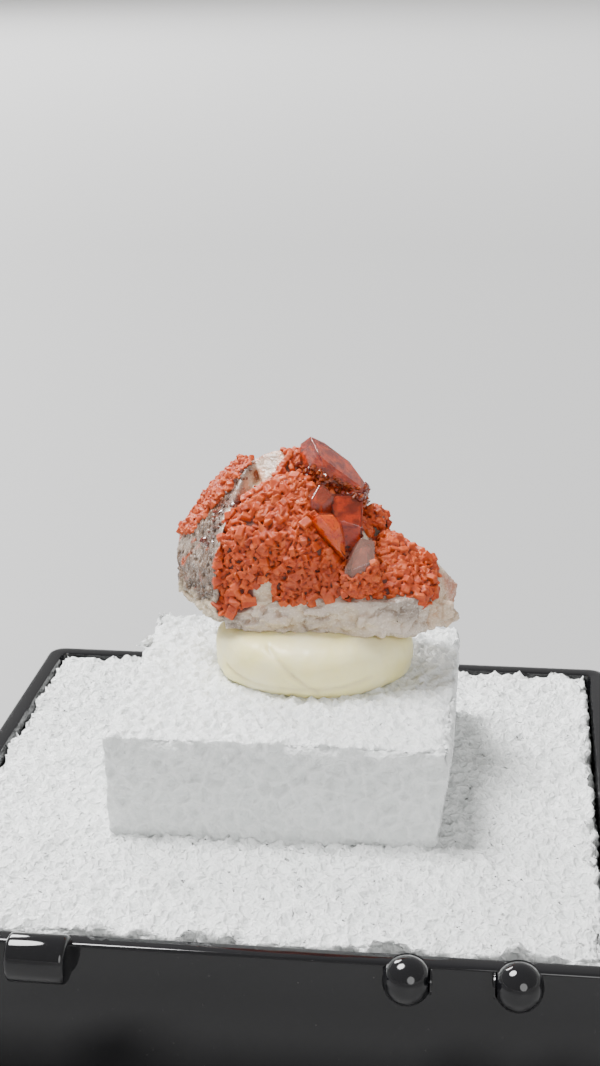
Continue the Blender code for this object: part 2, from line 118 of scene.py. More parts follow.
# Each larger crystal: its middle, then its flat faces as compass angle, rise and distance from the middle
CRYSTALS = {
    "tall_amber": (
        (1.25, 1.88, 8.35),
        (
            (-8, 45, 2.64), (-144, 13, 3.04), (-63, 0, 1.77), (57, 46, 3.13), (18, 34, 2.71),
            (0, 0, 2.24), (-170, 5, 2.92), (-120, -4, 2.09), (100, 50, 3.76), (95, 0, 2.5),
            (140, 10, 3.13), (0, -90, 5.22),
        ),
    ),
    "second_amber": (
        (2.5, -0.83, 7.3),
        (
            (-61, 45, 1.83), (-87, 44, 2.07), (-175, 30, 2.09), (-82, 0, 1.84), (5, 0, 1.12),
            (50, 50, 2.3), (110, 50, 1.98), (-160, 0, 1.43), (90, 0, 1.57), (0, -90, 3.13),
        ),
    ),
    "small_mauve": (
        (0.52, -1.46, 8.85),
        (
            (-70, 45, 1.2), (-160, 45, 1.3), (20, 40, 1.36), (-100, -5, 0.94), (-40, 0, 0.89),
            (-160, 0, 0.89), (20, 0, 0.89), (80, 0, 0.94), (100, 45, 1.36), (0, -90, 3.13),
        ),
    ),
    "bright_amber": (
        (1.67, -3.03, 7.51),
        (
            (-42, 62, 1.36), (-34, 52, 1.02), (-125, -10, 0.97), (-23, 18, 0.89), (-145, -35, 0.85),
            (11, 39, 0.8), (0, 16, 0.69), (10, 0, 0.78), (-160, 10, 1.93), (120, 50, 1.25),
            (70, 0, 1.25), (0, -90, 2.3),
        ),
    ),
    "clear_front": (
        (3.34, -2.92, 5.22),
        (
            (-92, 41, 1.45), (-31, 46, 1.73), (-73, 0, 1.77), (-99, 0, 1.85), (-175, 32, 0.73),
            (180, 0, 0.69), (100, 45, 1.21), (5, 0, 1.36), (90, 0, 1.36), (0, -90, 1.9),
        ),
    ),
    "back_clear": (
        (4.07, 3.55, 4.8),
        (
            (-80, 48, 1.83), (40, 45, 2.09), (160, 45, 1.98), (-140, 48, 1.98), (-20, 50, 2.09),
            (-80, 0, 0.99), (-20, 0, 0.94), (40, 0, 0.99), (100, 0, 0.99), (160, 0, 0.94),
            (-140, 0, 0.99), (0, -90, 3.13),
        ),
    ),
    "rear_amber": (
        (-1.67, 5.43, 7.93),
        (
            (75, 45, 1.98), (-50, 45, 2.09), (170, 42, 1.88), (75, 4, 1.46), (15, 0, 1.25),
            (135, 0, 1.25), (195, 0, 1.25), (-40, 0, 1.25), (0, -90, 1.1),
        ),
    ),
}

# Flakes left standing on the broken lower edge: middle, size and turn about the vertical
FLAKES = (
    ((4.4, -4.3, 1.1), (1.7, 0.7, 0.9), 12),
    ((-2.7, -4.2, 0.9), (2.3, 0.5, 0.7), -8),
    ((0.9, -4.3, 1.7), (2.7, 0.5, 0.6), 4),
    ((7.2, -3.8, 1.4), (1.9, 0.7, 0.9), 30),
    ((9.7, 0.0, 0.7), (0.9, 2.0, 1.5), 35),
    ((-8.8, 1.7, 1.0), (1.7, 1.9, 0.8), 50),
    ((0.4, 6.5, 1.7), (3.5, 0.7, 0.9), -6),
    ((5.8, 5.8, 1.5), (2.3, 0.7, 0.8), -14),
)

# Regions of the stone, as outlines on the plane through its middle seen from a compass angle and height,
# in millimetres right and up
STONE_MIDDLE = Vector((-0.32, -1.57, 6.74))
VIEW_DISTANCE = 136.4
FRONT = (6.6, 18.7)
FAR_SIDE = -12.0
CRUSTS = (
    ("front", FRONT, 1.0, -5.5, (
        (-3.5, 3.9), (-2.0, 4.4), (-0.6, 4.3), (0.0, 2.6), (-0.1, 1.5), (0.6, 0.2), (1.6, -1.1),
        (2.7, -2.0), (2.7, -4.6), (0.6, -4.8), (-1.8, -5.2), (-2.6, -4.9), (-2.7, -3.5), (-3.5, -3.2),
        (-4.1, -4.1), (-4.1, -5.4), (-5.1, -5.9), (-6.7, -5.9), (-7.0, -2.2), (-6.6, -0.3),
        (-6.1, 1.1), (-5.2, 2.6),
    )),
    ("right", FRONT, 0.85, -5.0, (
        (2.7, -3.0), (3.2, -3.1), (4.9, -2.3), (5.2, -0.8), (5.7, -0.1), (6.4, -0.3), (7.0, -1.4),
        (8.5, -1.5), (9.6, -2.2), (9.7, -4.2), (9.1, -5.2), (8.1, -5.0), (7.4, -4.5), (4.6, -4.6),
        (2.7, -4.7),
    )),
    ("upper_left", FRONT, 0.55, -7.5, (
        (-9.9, 0.4), (-9.8, 1.3), (-8.6, 2.6), (-7.2, 4.2), (-6.1, 5.2), (-5.0, 6.3), (-4.1, 5.9), (-4.6, 5.1),
        (-5.5, 4.1), (-6.3, 3.1), (-7.2, 2.1), (-8.1, 1.2), (-8.9, 0.2),
    )),
    ("knob_patch", FRONT, 0.45, -6.0, ((-1.9, 6.4), (-0.9, 6.4), (-0.6, 5.4), (-1.6, 5.5))),
    ("back_cap", FRONT, 0.6, -5.5, ((4.2, 2.5), (4.7, 2.6), (5.7, 1.0), (5.8, 0.1), (5.0, 0.5), (4.3, 1.6))),
    ("back_left", (150.0, 35.0), 0.95, -4.0, (
        (-4.7, 4.2), (-1.0, 5.2), (3.1, 3.8), (5.8, 0.6), (3.5, -1.7), (0.4, 0.2), (-2.7, -0.6),
        (-5.4, 0.6),
    )),
    ("back_low", (172.0, 10.0), 0.7, -4.0, (
        (2.3, -1.0), (3.4, 0.6), (5.0, 1.0), (6.1, -0.4), (5.6, -2.3), (4.2, -3.4), (3.0, -2.6),
    )),
    ("back_right", (205.0, 30.0), 0.85, -4.0, (
        (-9.0, -1.3), (-6.7, 0.8), (-3.8, 1.0), (-2.9, -1.7), (-5.4, -3.5), (-8.3, -3.1),
    )),
)
CRUSTED_CRYSTALS = ("clear_front", "back_clear")
SPARKLE_BAND = (
    (-0.7, 5.4), (0.5, 5.1), (1.8, 4.5), (2.9, 4.0), (4.2, 3.6), (4.3, 2.4), (2.9, 2.8), (1.5, 3.6), (0.3, 3.9),
    (-0.7, 3.9),
)
SPARKLED_CRYSTALS = ("tall_amber", "second_amber")
CAVITIES = (
    ((-0.6, 5.2), (0.8, 5.3), (2.7, 4.6), (4.0, 4.1), (4.2, 1.4), (3.4, -1.6), (2.4, -1.2),
     (1.4, 1.2), (0.2, 2.6)),
    ((2.5, 0.5), (3.7, 0.5), (3.9, -2.6), (2.6, -2.6)),
)
LEFT_FACE = (
    (-10.6, -2.9), (-10.4, -1.3), (-9.8, 1.4), (-8.2, 2.9), (-5.2, 6.2), (-4.2, 5.7), (-6.5, 1.9),
    (-7.1, -1.8), (-6.9, -6.6), (-8.7, -5.8), (-10.4, -4.2),
)
LEFT_RIM = ((-10.6, -3.2), (-9.6, -3.6), (-8.4, -4.7), (-6.9, -5.2), (-6.9, -6.9), (-10.6, -5.0))
GREY_BAND = (
    (-4.4, 5.9), (-3.7, 5.7), (-4.6, 4.2), (-5.4, 3.0), (-6.1, 2.1), (-6.6, 1.3), (-6.8, 0.4), (-7.2, -0.5),
    (-7.7, -0.5), (-7.6, 0.2), (-7.2, 1.3), (-6.6, 2.5), (-5.8, 3.8), (-5.0, 5.0),
)
LEFT_STREAKS = (
    (-9.5, 0.1), (-8.4, 0.1), (-7.4, 1.0), (-6.1, 2.8), (-5.7, 2.8), (-6.6, 1.3), (-7.5, -0.2), (-8.6, -1.7),
    (-9.4, -2.0), (-9.9, -1.1),
)
TIP_STAIN = ((10.0, -3.0), (11.4, -3.5), (11.5, -5.1), (10.4, -4.7))
ARCH = ((-4.1, -3.0), (-3.5, -2.7), (-2.8, -2.8), (-2.5, -3.5), (-2.5, -4.9), (-3.1, -5.3), (-4.0, -5.0))
PINK_ZONE = ((-1.8, -2.6), (0.8, -2.4), (2.9, -3.0), (2.9, -4.9), (-1.8, -5.2))
RIGHT_END = ((8.9, -4.7), (9.6, -3.8), (9.7, -1.6), (10.4, -2.6), (11.8, -3.7), (11.8, -7.4), (8.9, -7.4))

# Colours, linear red, green and blue
# The next colour is painted shade: a near-black red on the quartz under the crust and in the crust's crevices
CRUST_PAINTED_SHADE = (0.085, 0.008, 0.003)
CRUST_DARK = (0.24, 0.022, 0.005)
CRUST_MAIN = (0.46, 0.056, 0.007)
CRUST_PALE = (0.60, 0.130, 0.028)
CRUST_PINK = (0.35, 0.056, 0.022)
QUARTZ_WHITE = (0.64, 0.54, 0.45)
QUARTZ_GREY = (0.25, 0.20, 0.165)
QUARTZ_CREAM = (0.64, 0.53, 0.38)
KNOB_PEACH = (0.62, 0.33, 0.20)
LEFT_BROWN = (0.155, 0.098, 0.066)
SPECK_BROWN = (0.034, 0.018, 0.012)
BAND_BROWN = (0.13, 0.080, 0.065)
RUST = (0.42, 0.075, 0.018)
FOAM_WHITE = (0.78, 0.80, 0.79)
PUTTY_CREAM = (0.90, 0.81, 0.38)

# Each larger crystal: the colour of the quartz under it, the light that it lets through and how densely,
# and the colour and share of the haze in it
CRYSTAL_LOOKS = {
    "tall_amber": ((0.50, 0.08, 0.010), (0.97, 0.70, 0.28), 1200.0, (0.74, 0.28, 0.14), 0.06),
    "second_amber": ((0.60, 0.10, 0.010), (0.97, 0.74, 0.34), 900.0, (0.60, 0.15, 0.05), 0.06),
    "small_mauve": ((0.62, 0.13, 0.040), (0.97, 0.76, 0.56), 400.0, (0.52, 0.17, 0.10), 0.14),
    "bright_amber": ((0.98, 0.26, 0.010), (0.99, 0.74, 0.16), 1000.0, (0.90, 0.28, 0.05), 0.04),
    "clear_front": ((0.50, 0.20, 0.13), (0.96, 0.80, 0.74), 260.0, (0.54, 0.29, 0.23), 0.30),
    "back_clear": ((0.48, 0.36, 0.27), (0.95, 0.88, 0.82), 200.0, (0.66, 0.56, 0.48), 0.22),
    "rear_amber": ((0.60, 0.12, 0.016), (0.97, 0.76, 0.38), 800.0, (0.60, 0.18, 0.07), 0.10),
}

# The red and orange cloud inside a crystal: how deep it lies under the faces, its dark and its bright colour,
# and the height over the crystal's middle below which a painted glow makes it more orange
HEARTS = {
    "tall_amber": (0.45, (0.34, 0.030, 0.006), (1.00, 0.27, 0.004), 1.0),
    "second_amber": (0.16, (0.34, 0.030, 0.005), (1.00, 0.22, 0.006), 0.3),
    "small_mauve": (0.20, (0.50, 0.070, 0.022), (0.90, 0.20, 0.040), 0.0),
    "bright_amber": (0.12, (0.72, 0.080, 0.003), (1.00, 0.40, 0.006), 0.6),
    "clear_front": (0.50, (0.34, 0.085, 0.060), (0.60, 0.25, 0.18), 0.0),
    "rear_amber": (0.40, (0.42, 0.045, 0.008), (0.90, 0.22, 0.020), 0.5),
}
HEART_BEVEL = 0.07
CRYSTAL_BEVEL = 0.022

# How far from an edge the foam is worn, and how high its torn skin stands there
EDGE_REACH = 1.5
EDGE_LIFT = 0.55

# Scraps of foam left by the knife on the block: middle and size
FOAM_SCRAPS = (
    ((-12.7, 8.3, 17.2), (0.5, 0.9, 0.5)), ((-12.9, 8.9, 17.6), (0.3, 0.4, 0.6)),
    ((-12.5, 13.9, 17.3), (0.8, 0.9, 0.9)), ((11.4, 13.2, 17.4), (1.6, 0.8, 0.6)),
    ((10.0, -9.2, 17.2), (1.2, 0.5, 0.5)), ((-4.0, -9.3, 11.2), (1.8, 0.5, 0.5)),
)

SKIN_STEP = 0.15
CHIP_KINDS = 14
CHIP_SHARE = 0.6
CRUST_VOXEL = 0.052
BACK_CRUST_VOXEL = 0.066
CRUST_SUNK = 0.15
CRUST_FACING = -0.35
CRUST_COMPANY = 1.0
MATRIX_VOXEL = 0.15
BED_VOXEL = 0.30
RISER_VOXEL = 0.22


# Noise

def hashed(whole, seed):
    """Three random numbers from 0 to 1 for each row of whole numbers."""
    x, y, z = (whole[:, axis].astype(np.int64).astype(np.uint64) for axis in range(3))
    mixed = x * np.uint64(73856093) ^ y * np.uint64(19349663) ^ z * np.uint64(83492791)
    mixed = mixed + np.uint64(seed + 1) * np.uint64(2654435761)
    mixed = (mixed ^ (mixed >> np.uint64(30))) * np.uint64(0xBF58476D1CE4E5B9)
    mixed = (mixed ^ (mixed >> np.uint64(27))) * np.uint64(0x94D049BB133111EB)
    mixed = mixed ^ (mixed >> np.uint64(31))
    low = np.uint64(0x1FFFFF)
    parts = [(mixed >> np.uint64(shift)) & low for shift in (0, 21, 42)]
    return np.stack(parts, axis=1).astype(float) / float(low)


def smooth_noise(points, size, seed, octaves=1):
    """Smooth noise from about -1 to 1. Each further octave has half the size and half the height."""
    total = np.zeros(len(points))
    height = 1.0
    for octave in range(octaves):
        place = points / (np.asarray(size) / 2.0 ** octave)
        low = np.floor(place)
        part = place - low
        part = part * part * (3.0 - 2.0 * part)
        value = np.zeros(len(points))
        for corner in itertools.product((0, 1), repeat=3):
            weight = np.prod(np.where(corner, part, 1.0 - part), axis=1)
            value += weight * hashed(low + corner, seed + octave)[:, 0]
        total += height * (2.0 * value - 1.0)
        height *= 0.5
    return total


def cell_noise(points, size, seed):
    """How far the nearest and the next scattered point are, in cells, and the nearest one's own number."""
    place = points / np.asarray(size)
    low = np.floor(place)
    nearest = np.full(len(points), 9.0)
    following = np.full(len(points), 9.0)
    own = np.zeros(len(points))
    for step in itertools.product((-1, 0, 1), repeat=3):
        cell = low + step
        shake = hashed(cell, seed)
        away = np.linalg.norm(cell + shake - place, axis=1)
        closer = away < nearest
        following = np.where(closer, nearest, np.minimum(following, away))
        own = np.where(closer, shake[:, 0], own)
        nearest = np.where(closer, away, nearest)
    return nearest, following, own


def ramp(values, low, high):
    """0 below low, 1 above high and smooth between."""
    part = np.clip((values - low) / (high - low), 0.0, 1.0)
    return part * part * (3.0 - 2.0 * part)


def mixed(first, second, share):
    """Rows of colour, from the first to the second by each row's share."""
    share = np.asarray(share)[:, None]
    return np.asarray(first) * (1.0 - share) + np.asarray(second) * share


# Meshes

def mesh_arrays(mesh):
    """A mesh's points, normals and quads or triangles as arrays."""
    points = np.empty(len(mesh.vertices) * 3)
    mesh.vertices.foreach_get("co", points)
    normals = np.empty(len(mesh.vertices) * 3, np.float32)
    mesh.vertex_normals.foreach_get("vector", normals)
    return points.reshape(-1, 3), normals.reshape(-1, 3).astype(float), [tuple(f.vertices) for f in mesh.polygons]


def points_and_faces(bm):
    """The points and faces of a bmesh, which is freed."""
    bmesh.ops.recalc_face_normals(bm, faces=bm.faces)
    bm.verts.index_update()
    points = np.array([vert.co for vert in bm.verts]).reshape(-1, 3)
    faces = [tuple(vert.index for vert in face.verts) for face in bm.faces]
    bm.free()
    return points, faces


def fused(points, faces, voxel):
    """Fuse closed solids into one even skin, and return its points, normals and quads."""
    mesh = bpy.data.meshes.new("work")
    mesh.from_pydata(np.asarray(points).tolist(), [], faces)
    item = bpy.data.objects.new("work", mesh)
    bpy.context.scene.collection.objects.link(item)
    step = item.modifiers.new("fuse", "REMESH")
    step.mode = "VOXEL"
    step.voxel_size = voxel
    made = bpy.data.meshes.new_from_object(item.evaluated_get(bpy.context.evaluated_depsgraph_get()))
    arrays = mesh_arrays(made)
    bpy.data.objects.remove(item)
    bpy.data.meshes.remove(mesh)
    bpy.data.meshes.remove(made)
    return arrays


def hollowness(points, normals, faces, rounds):
    """How far each point lies below its surroundings, in millimetres. On a ridge it is negative."""
    quads = np.array(faces)
    after = np.roll(quads, -1, axis=1)
    here = np.concatenate([quads.ravel(), after.ravel()])
    there = np.concatenate([after.ravel(), quads.ravel()])
    count = np.bincount(here, minlength=len(points))[:, None]
    level = points
    for _ in range(rounds):
        level = np.stack([np.bincount(here, level[there, k], len(points)) for k in range(3)], axis=1) / count
    return ((level - points) * normals).sum(axis=1)


def trimmed(faces, dropped):
    """The numbers of the points that are left without the faces that lie on dropped points, and the faces."""
    quads = np.array(faces)
    quads = quads[~dropped[quads].all(axis=1)]
    kept, numbers = np.unique(quads, return_inverse=True)
    return kept, numbers.reshape(-1, 4).tolist()


def add_piece(name, points, faces, slot, material, tint=None, smooth=True):
    """Make a piece of the object from points in millimetres, with a colour and a dullness for each point."""
    mesh = bpy.data.meshes.new(name)
    mesh.from_pydata((np.asarray(points) * MM).tolist(), [], faces)
    mesh.update()
    if tint is not None:
        layer = mesh.color_attributes.new("tint", "FLOAT_COLOR", "POINT")
        rows = np.ones((len(points), 4))
        rows[:, :tint.shape[1]] = np.clip(tint, 0.0, 1.0)
        layer.data.foreach_set("color", rows.astype(np.float32).ravel())
    mesh.polygons.foreach_set("use_smooth", [smooth] * len(mesh.polygons))
    piece = bpy.data.objects.new(name, mesh)
    bpy.context.scene.collection.objects.link(piece)
    piece.data.materials.append(material)
    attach(piece, "root")
    return piece


def bmesh_piece(name, bm, slot, material, smooth=False):
    """Make a piece of the object from a bmesh in millimetres."""
    return add_piece(name, *points_and_faces(bm), slot, material, None, smooth)


def hull(points):
    """The convex solid on a set of corners."""
    bm = bmesh.new()
    for point in points:
        bm.verts.new(point)
    found = bmesh.ops.convex_hull(bm, input=bm.verts)
    spare = {item for item in found["geom_interior"] + found["geom_unused"] if isinstance(item, bmesh.types.BMVert)}
    bmesh.ops.delete(bm, geom=list(spare), context="VERTS")
    return bm


def heading(angle, rise):
    """The unit vector at a compass angle from +X and a rise above the level, in degrees."""
    flat = math.cos(math.radians(rise))
    turn = math.radians(angle)
    return Vector((math.cos(turn) * flat, math.sin(turn) * flat, math.sin(math.radians(rise))))


def cleave(bm, point, normal):
    """Cut away what lies beyond a plane and close the cut."""
    cut = bmesh.ops.bisect_plane(
        bm, geom=bm.verts[:] + bm.edges[:] + bm.faces[:], plane_co=point, plane_no=normal, clear_outer=True
    )
    edges = [item for item in cut["geom_cut"] if isinstance(item, bmesh.types.BMEdge)]
    if edges:
        bmesh.ops.contextual_create(bm, geom=edges)


def crystal(middle, faces):
    """A crystal cut from a cube by its flat faces."""
    bm = bmesh.new()
    centre = SEAT + Vector(middle)
    bmesh.ops.create_cube(bm, size=30.0, matrix=Matrix.Translation(centre))
    for angle, rise, distance in faces:
        normal = heading(angle, rise)
        cleave(bm, centre + normal * distance, normal)
    return bm


# Regions on the stone

def view_frame(view):
    """The eye, right, up and outward directions of a view of the stone."""
    angle, height = view
    out = heading(angle - 90.0, height)
    right = Vector((-out.y, out.x, 0.0)).normalized()
    return SEAT + STONE_MIDDLE + out * VIEW_DISTANCE, right, out.cross(right), out


def on_plane(points, view):
    """Where points are seen on the plane through the stone's middle, in millimetres right and up."""
    eye, right, up, out = (np.array(part) for part in view_frame(view))
    rays = points - eye
    scale = VIEW_DISTANCE / -(rays @ out)
    return np.stack([(rays @ right) * scale, (rays @ up) * scale], axis=1)


def depth_inside(places, outline):
    """How far each place is inside an outline; outside it the distance is negative."""
    x, y = places[:, 0], places[:, 1]
    crossings = np.zeros(len(places), int)
    nearest = np.full(len(places), 99.0)
    for (ax, ay), (bx, by) in zip(outline, outline[1:] + outline[:1]):
        crosses = ((ay > y) != (by > y)) & (x < ax + (y - ay) / (by - ay + 1e-12) * (bx - ax))
        crossings += crosses
        along = np.array([bx - ax, by - ay])
        part = np.clip(((places - (ax, ay)) @ along) / (along @ along), 0.0, 1.0)
        away = np.linalg.norm(places - (ax, ay) - part[:, None] * along, axis=1)
        nearest = np.minimum(nearest, away)
    return np.where(crossings % 2 == 1, nearest, -nearest)


def region(points, normals, view, outline, soft=0.15, wander=0.2, seed=0, facing=-0.05, reach=FAR_SIDE):
    """How much each point belongs to a region seen from a view, from 0 to 1, with a ragged edge.

    A point counts if its normal leans to the view by more than facing and it is no further back than reach.
    """
    out = np.array(view_frame(view)[3])
    nearness = (points - np.array(SEAT + STONE_MIDDLE)) @ out
    depth = depth_inside(on_plane(points, view), outline)
    depth = depth + wander * smooth_noise(points, 0.8, 40 + seed, 2)
    return ramp(depth, -soft, soft) * ramp(normals @ out, facing, facing + 0.2) * (nearness > reach)


# Materials

class Shader:
    """A material and its nodes."""

    def __init__(self, name):
        self.material = bpy.data.materials.new(name)
        self.material.use_nodes = True
        self.tree = self.material.node_tree
        self.surface = self.tree.nodes["Principled BSDF"]
        self.place = self.add("ShaderNodeTexCoord").outputs["Object"]

    def add(self, kind, inputs=None, **settings):
        """Add a node, with its settings and the values or links of its inputs."""
        node = self.tree.nodes.new(kind)
        for key, value in settings.items():
            setattr(node, key, value)
        for key, value in (inputs or {}).items():
            self.put(node.inputs[key], value)
        return node

    def put(self, socket, value):
        """Link a socket or give it a value."""
        if isinstance(value, bpy.types.NodeSocket):
            self.tree.links.new(value, socket)
        elif hasattr(value, "__len__") and socket.type == "RGBA" and len(value) == 3:
            socket.default_value = (*value, 1.0)
        else:
            socket.default_value = value

    def set(self, **values):
        """Give the surface's inputs values or links."""
        for key, value in values.items():
            self.put(self.surface.inputs[key.replace("_", " ")], value)

    def noise(self, size, detail=2.0, stretch=(1.0, 1.0, 1.0), roughness=0.5):
        """Noise whose features are about size millimetres."""
        place = self.add("ShaderNodeMapping", {"Vector": self.place, "Scale": stretch}).outputs[0]
        inputs = {"Vector": place, "Scale": 1.0 / (size * MM), "Detail": detail, "Roughness": roughness}
        return self.add("ShaderNodeTexNoise", inputs).outputs["Fac"]

    def cells(self, size, feature="F1", output="Distance", stretch=(1.0, 1.0, 1.0)):
        """Cells about size millimetres across."""
        place = self.add("ShaderNodeMapping", {"Vector": self.place, "Scale": stretch}).outputs[0]
        inputs = {"Vector": place, "Scale": 1.0 / (size * MM)}
        return self.add("ShaderNodeTexVoronoi", inputs, feature=feature).outputs[output]

    def span(self, value, low, high, bottom=0.0, top=1.0):
        """Stretch a value from one range onto another, held at its ends."""
        inputs = {"Value": value, "From Min": low, "From Max": high, "To Min": bottom, "To Max": top}
        return self.add("ShaderNodeMapRange", inputs).outputs[0]

    def blend(self, share, first, second, mode="MIX"):
        """Mix two colours."""
        node = self.add("ShaderNodeMix", data_type="RGBA", blend_type=mode)
        self.put(node.inputs[0], share)
        self.put(node.inputs[6], first)
        self.put(node.inputs[7], second)
        return node.outputs[2]

    def tint(self, output="Color"):
        """The colour kept at each point of the mesh, or its Alpha."""
        return self.add("ShaderNodeVertexColor", layer_name="tint").outputs[output]

    def bump(self, height, depth, strength=1.0, under=None):
        """Relief of a depth in millimetres."""
        inputs = {"Height": height, "Distance": depth * MM, "Strength": strength}
        if under is not None:
            inputs["Normal"] = under
        return self.add("ShaderNodeBump", inputs).outputs[0]


def scatter_below(shader, weight, depth, colour_depths):
    """Let light wander under the surface, to a depth in millimetres."""
    shader.set(Subsurface_Weight=weight, Subsurface_Scale=depth * MM, Subsurface_Radius=colour_depths)


def crust_material():
    """Waxy red iron-stained crystals."""
    made = Shader("red_crust")
    grain = made.noise(0.22, 3.0)
    dusty = made.span(made.noise(0.9, 3.0), 0.42, 0.66)
    colour = made.blend(made.span(grain, 0.35, 0.7, 0.0, 0.45), made.tint(), (0.86, 0.50, 0.36), "MULTIPLY")
    colour = made.blend(made.span(dusty, 0.0, 1.0, 0.0, 0.16), colour, CRUST_PALE)
    relief = made.bump(grain, 0.035, 0.7)
    relief = made.bump(made.noise(0.07, 2.0), 0.012, 0.6, relief)
    made.set(Base_Color=colour, Roughness=made.span(grain, 0.3, 0.7, 0.40, 0.70), Normal=relief)
    made.set(IOR=1.54, Specular_IOR_Level=0.35)
    scatter_below(made, 0.12, 0.25, (1.0, 0.30, 0.14))
    return made.material


def matrix_material():
    """Milky, stained and frosted quartz, dull where the crust grows."""
    made = Shader("quartz_matrix")
    veil = made.noise(1.6, 4.0, (1.0, 1.0, 2.2))
    grain = made.noise(0.16, 3.0)
    colour = made.blend(made.span(veil, 0.35, 0.68, 0.0, 0.5), made.tint(), (0.70, 0.64, 0.60), "MULTIPLY")
    bright = made.add("ShaderNodeMath", {0: made.span(grain, 0.58, 0.72, 0.0, 0.40)}, operation="MULTIPLY")
    made.put(bright.inputs[1], made.tint("Alpha"))
    colour = made.blend(bright.outputs[0], colour, (0.82, 0.76, 0.68), "SCREEN")
    relief = made.bump(made.cells(0.42), 0.09, 0.8)
    relief = made.bump(made.noise(0.55, 3.0, (0.5, 0.5, 1.6)), 0.16, 0.8, relief)
    relief = made.bump(grain, 0.06, 0.9, relief)
    gloss = made.add("ShaderNodeMath", {0: made.span(grain, 0.35, 0.70, 0.10, 0.42)}, operation="MAXIMUM")
    made.put(gloss.inputs[1], made.span(made.tint("Alpha"), 0.0, 1.0, 0.9, 0.0))
    made.set(Base_Color=colour, Roughness=gloss.outputs[0], Normal=relief)
    made.set(IOR=1.544)
    scatter_below(made, 0.20, 0.6, (1.0, 0.82, 0.70))
    return made.material


def heart_material(name, dark, bright, painted_glow_height):
    """The iron-stained heart of a crystal, clouded from red to orange, with a painted glow that makes it more orange
    below a height.
    """
    made = Shader(name)
    cloud = made.noise(0.9, 3.0, (0.7, 0.7, 1.7))
    fine = made.noise(0.22, 3.0)
    level = made.add("ShaderNodeSeparateXYZ", {0: made.place}).outputs["Z"]
    # Painted glow: below the height the cloud is pushed towards the bright orange
    painted_glow = made.span(level, (painted_glow_height - 0.5) * MM, (painted_glow_height + 1.1) * MM, 0.12, 0.0)
    lit = made.add("ShaderNodeMath", {0: cloud, 1: painted_glow}, operation="ADD").outputs[0]
    colour = made.blend(made.span(lit, 0.42, 0.62), dark, bright)
    colour = made.blend(made.span(fine, 0.56, 0.74, 0.0, 0.6), colour, (0.30, 0.030, 0.008))
    relief = made.bump(made.cells(0.55), 0.12, 0.8)
    relief = made.bump(fine, 0.05, 0.7, relief)
    made.set(Base_Color=colour, Roughness=0.30, Normal=relief, IOR=1.6)
    scatter_below(made, 0.45, 0.7, (1.0, 0.32, 0.05))
    return made.material


def crystal_material(name, kept_light, density, haze_colour, haze):
    """Clear quartz that swallows some of the light on its way through, with some haze in it."""
    made = Shader(name)
    lines = made.noise(0.35, 2.0, (0.35, 0.35, 2.4))
    relief = made.bump(lines, 0.02, 0.5)
    relief = made.bump(made.noise(0.12, 2.0), 0.004, 0.5, relief)
    made.set(Base_Color=haze_colour, Roughness=0.03, Transmission_Weight=1.0 - haze, IOR=1.544)
    made.set(Normal=relief)
    absorb = made.add("ShaderNodeVolumeAbsorption", {"Color": kept_light, "Density": density})
    made.tree.links.new(absorb.outputs[0], made.tree.nodes["Material Output"].inputs["Volume"])
    return made.material


def sparkle_material():
    """Small glassy dark red crystals that line the hollows."""
    made = Shader("dark_sparkle")
    made.set(Base_Color=made.tint(), Roughness=0.09, IOR=1.544, Transmission_Weight=0.45, Coat_Weight=0.6)
    made.set(Coat_Roughness=0.04)
    return made.material


def inclusion_material():
    """Flecks of iron oxide inside the clear crystals."""
    made = Shader("iron_flecks")
    made.set(Base_Color=made.tint(), Roughness=0.32, Specular_IOR_Level=0.7)
    scatter_below(made, 0.35, 0.3, (1.0, 0.35, 0.10))
    return made.material


def foam_material(name, cell, wall_depth, wall_highlight_share, streaks):
    """White closed-cell foam, with a painted highlight along the walls of its cells."""
    made = Shader(name)
    edge = made.cells(cell, "DISTANCE_TO_EDGE")
    wall = made.span(edge, 0.02, 0.22, 1.0, 0.0)
    fine = made.noise(0.22, 3.0)
    # Painted highlight: the walls of the cells are made lighter
    colour = made.blend(made.span(wall, 0.0, 1.0, 0.0, wall_highlight_share), made.tint(), (0.93, 0.94, 0.93))
    colour = made.blend(made.span(fine, 0.3, 0.7, 0.0, 0.22), colour, (0.66, 0.70, 0.71))
    relief = made.bump(wall, wall_depth, 0.8)
    relief = made.bump(fine, 0.16, 0.9, relief)
    relief = made.bump(made.noise(0.5, 2.0, (1.0, 1.0, 0.12)), 0.05, streaks, relief)
    made.set(Base_Color=colour, Roughness=made.span(fine, 0.35, 0.7, 0.22, 0.55), Normal=relief)
    scatter_below(made, 0.25, 0.5, (1.0, 1.0, 1.0))
    return made.material


def putty_material():
    """Soft cream putty with a faint waxy skin."""
    made = Shader("cream_putty")
    cloud = made.noise(2.4, 3.0)
    fine = made.noise(0.5, 4.0, (1.0, 1.0, 1.8))
    colour = made.blend(made.span(cloud, 0.35, 0.65), made.tint(), (0.90, 0.83, 0.50))
    colour = made.blend(made.span(fine, 0.55, 0.75, 0.0, 0.2), colour, (0.78, 0.71, 0.44))
    relief = made.bump(cloud, 0.12, 0.4)
    relief = made.bump(fine, 0.05, 0.45, relief)
    made.set(Base_Color=colour, Roughness=made.span(fine, 0.35, 0.7, 0.34, 0.52), Normal=relief)
    scatter_below(made, 0.45, 1.2, (1.0, 0.85, 0.55))
    return made.material


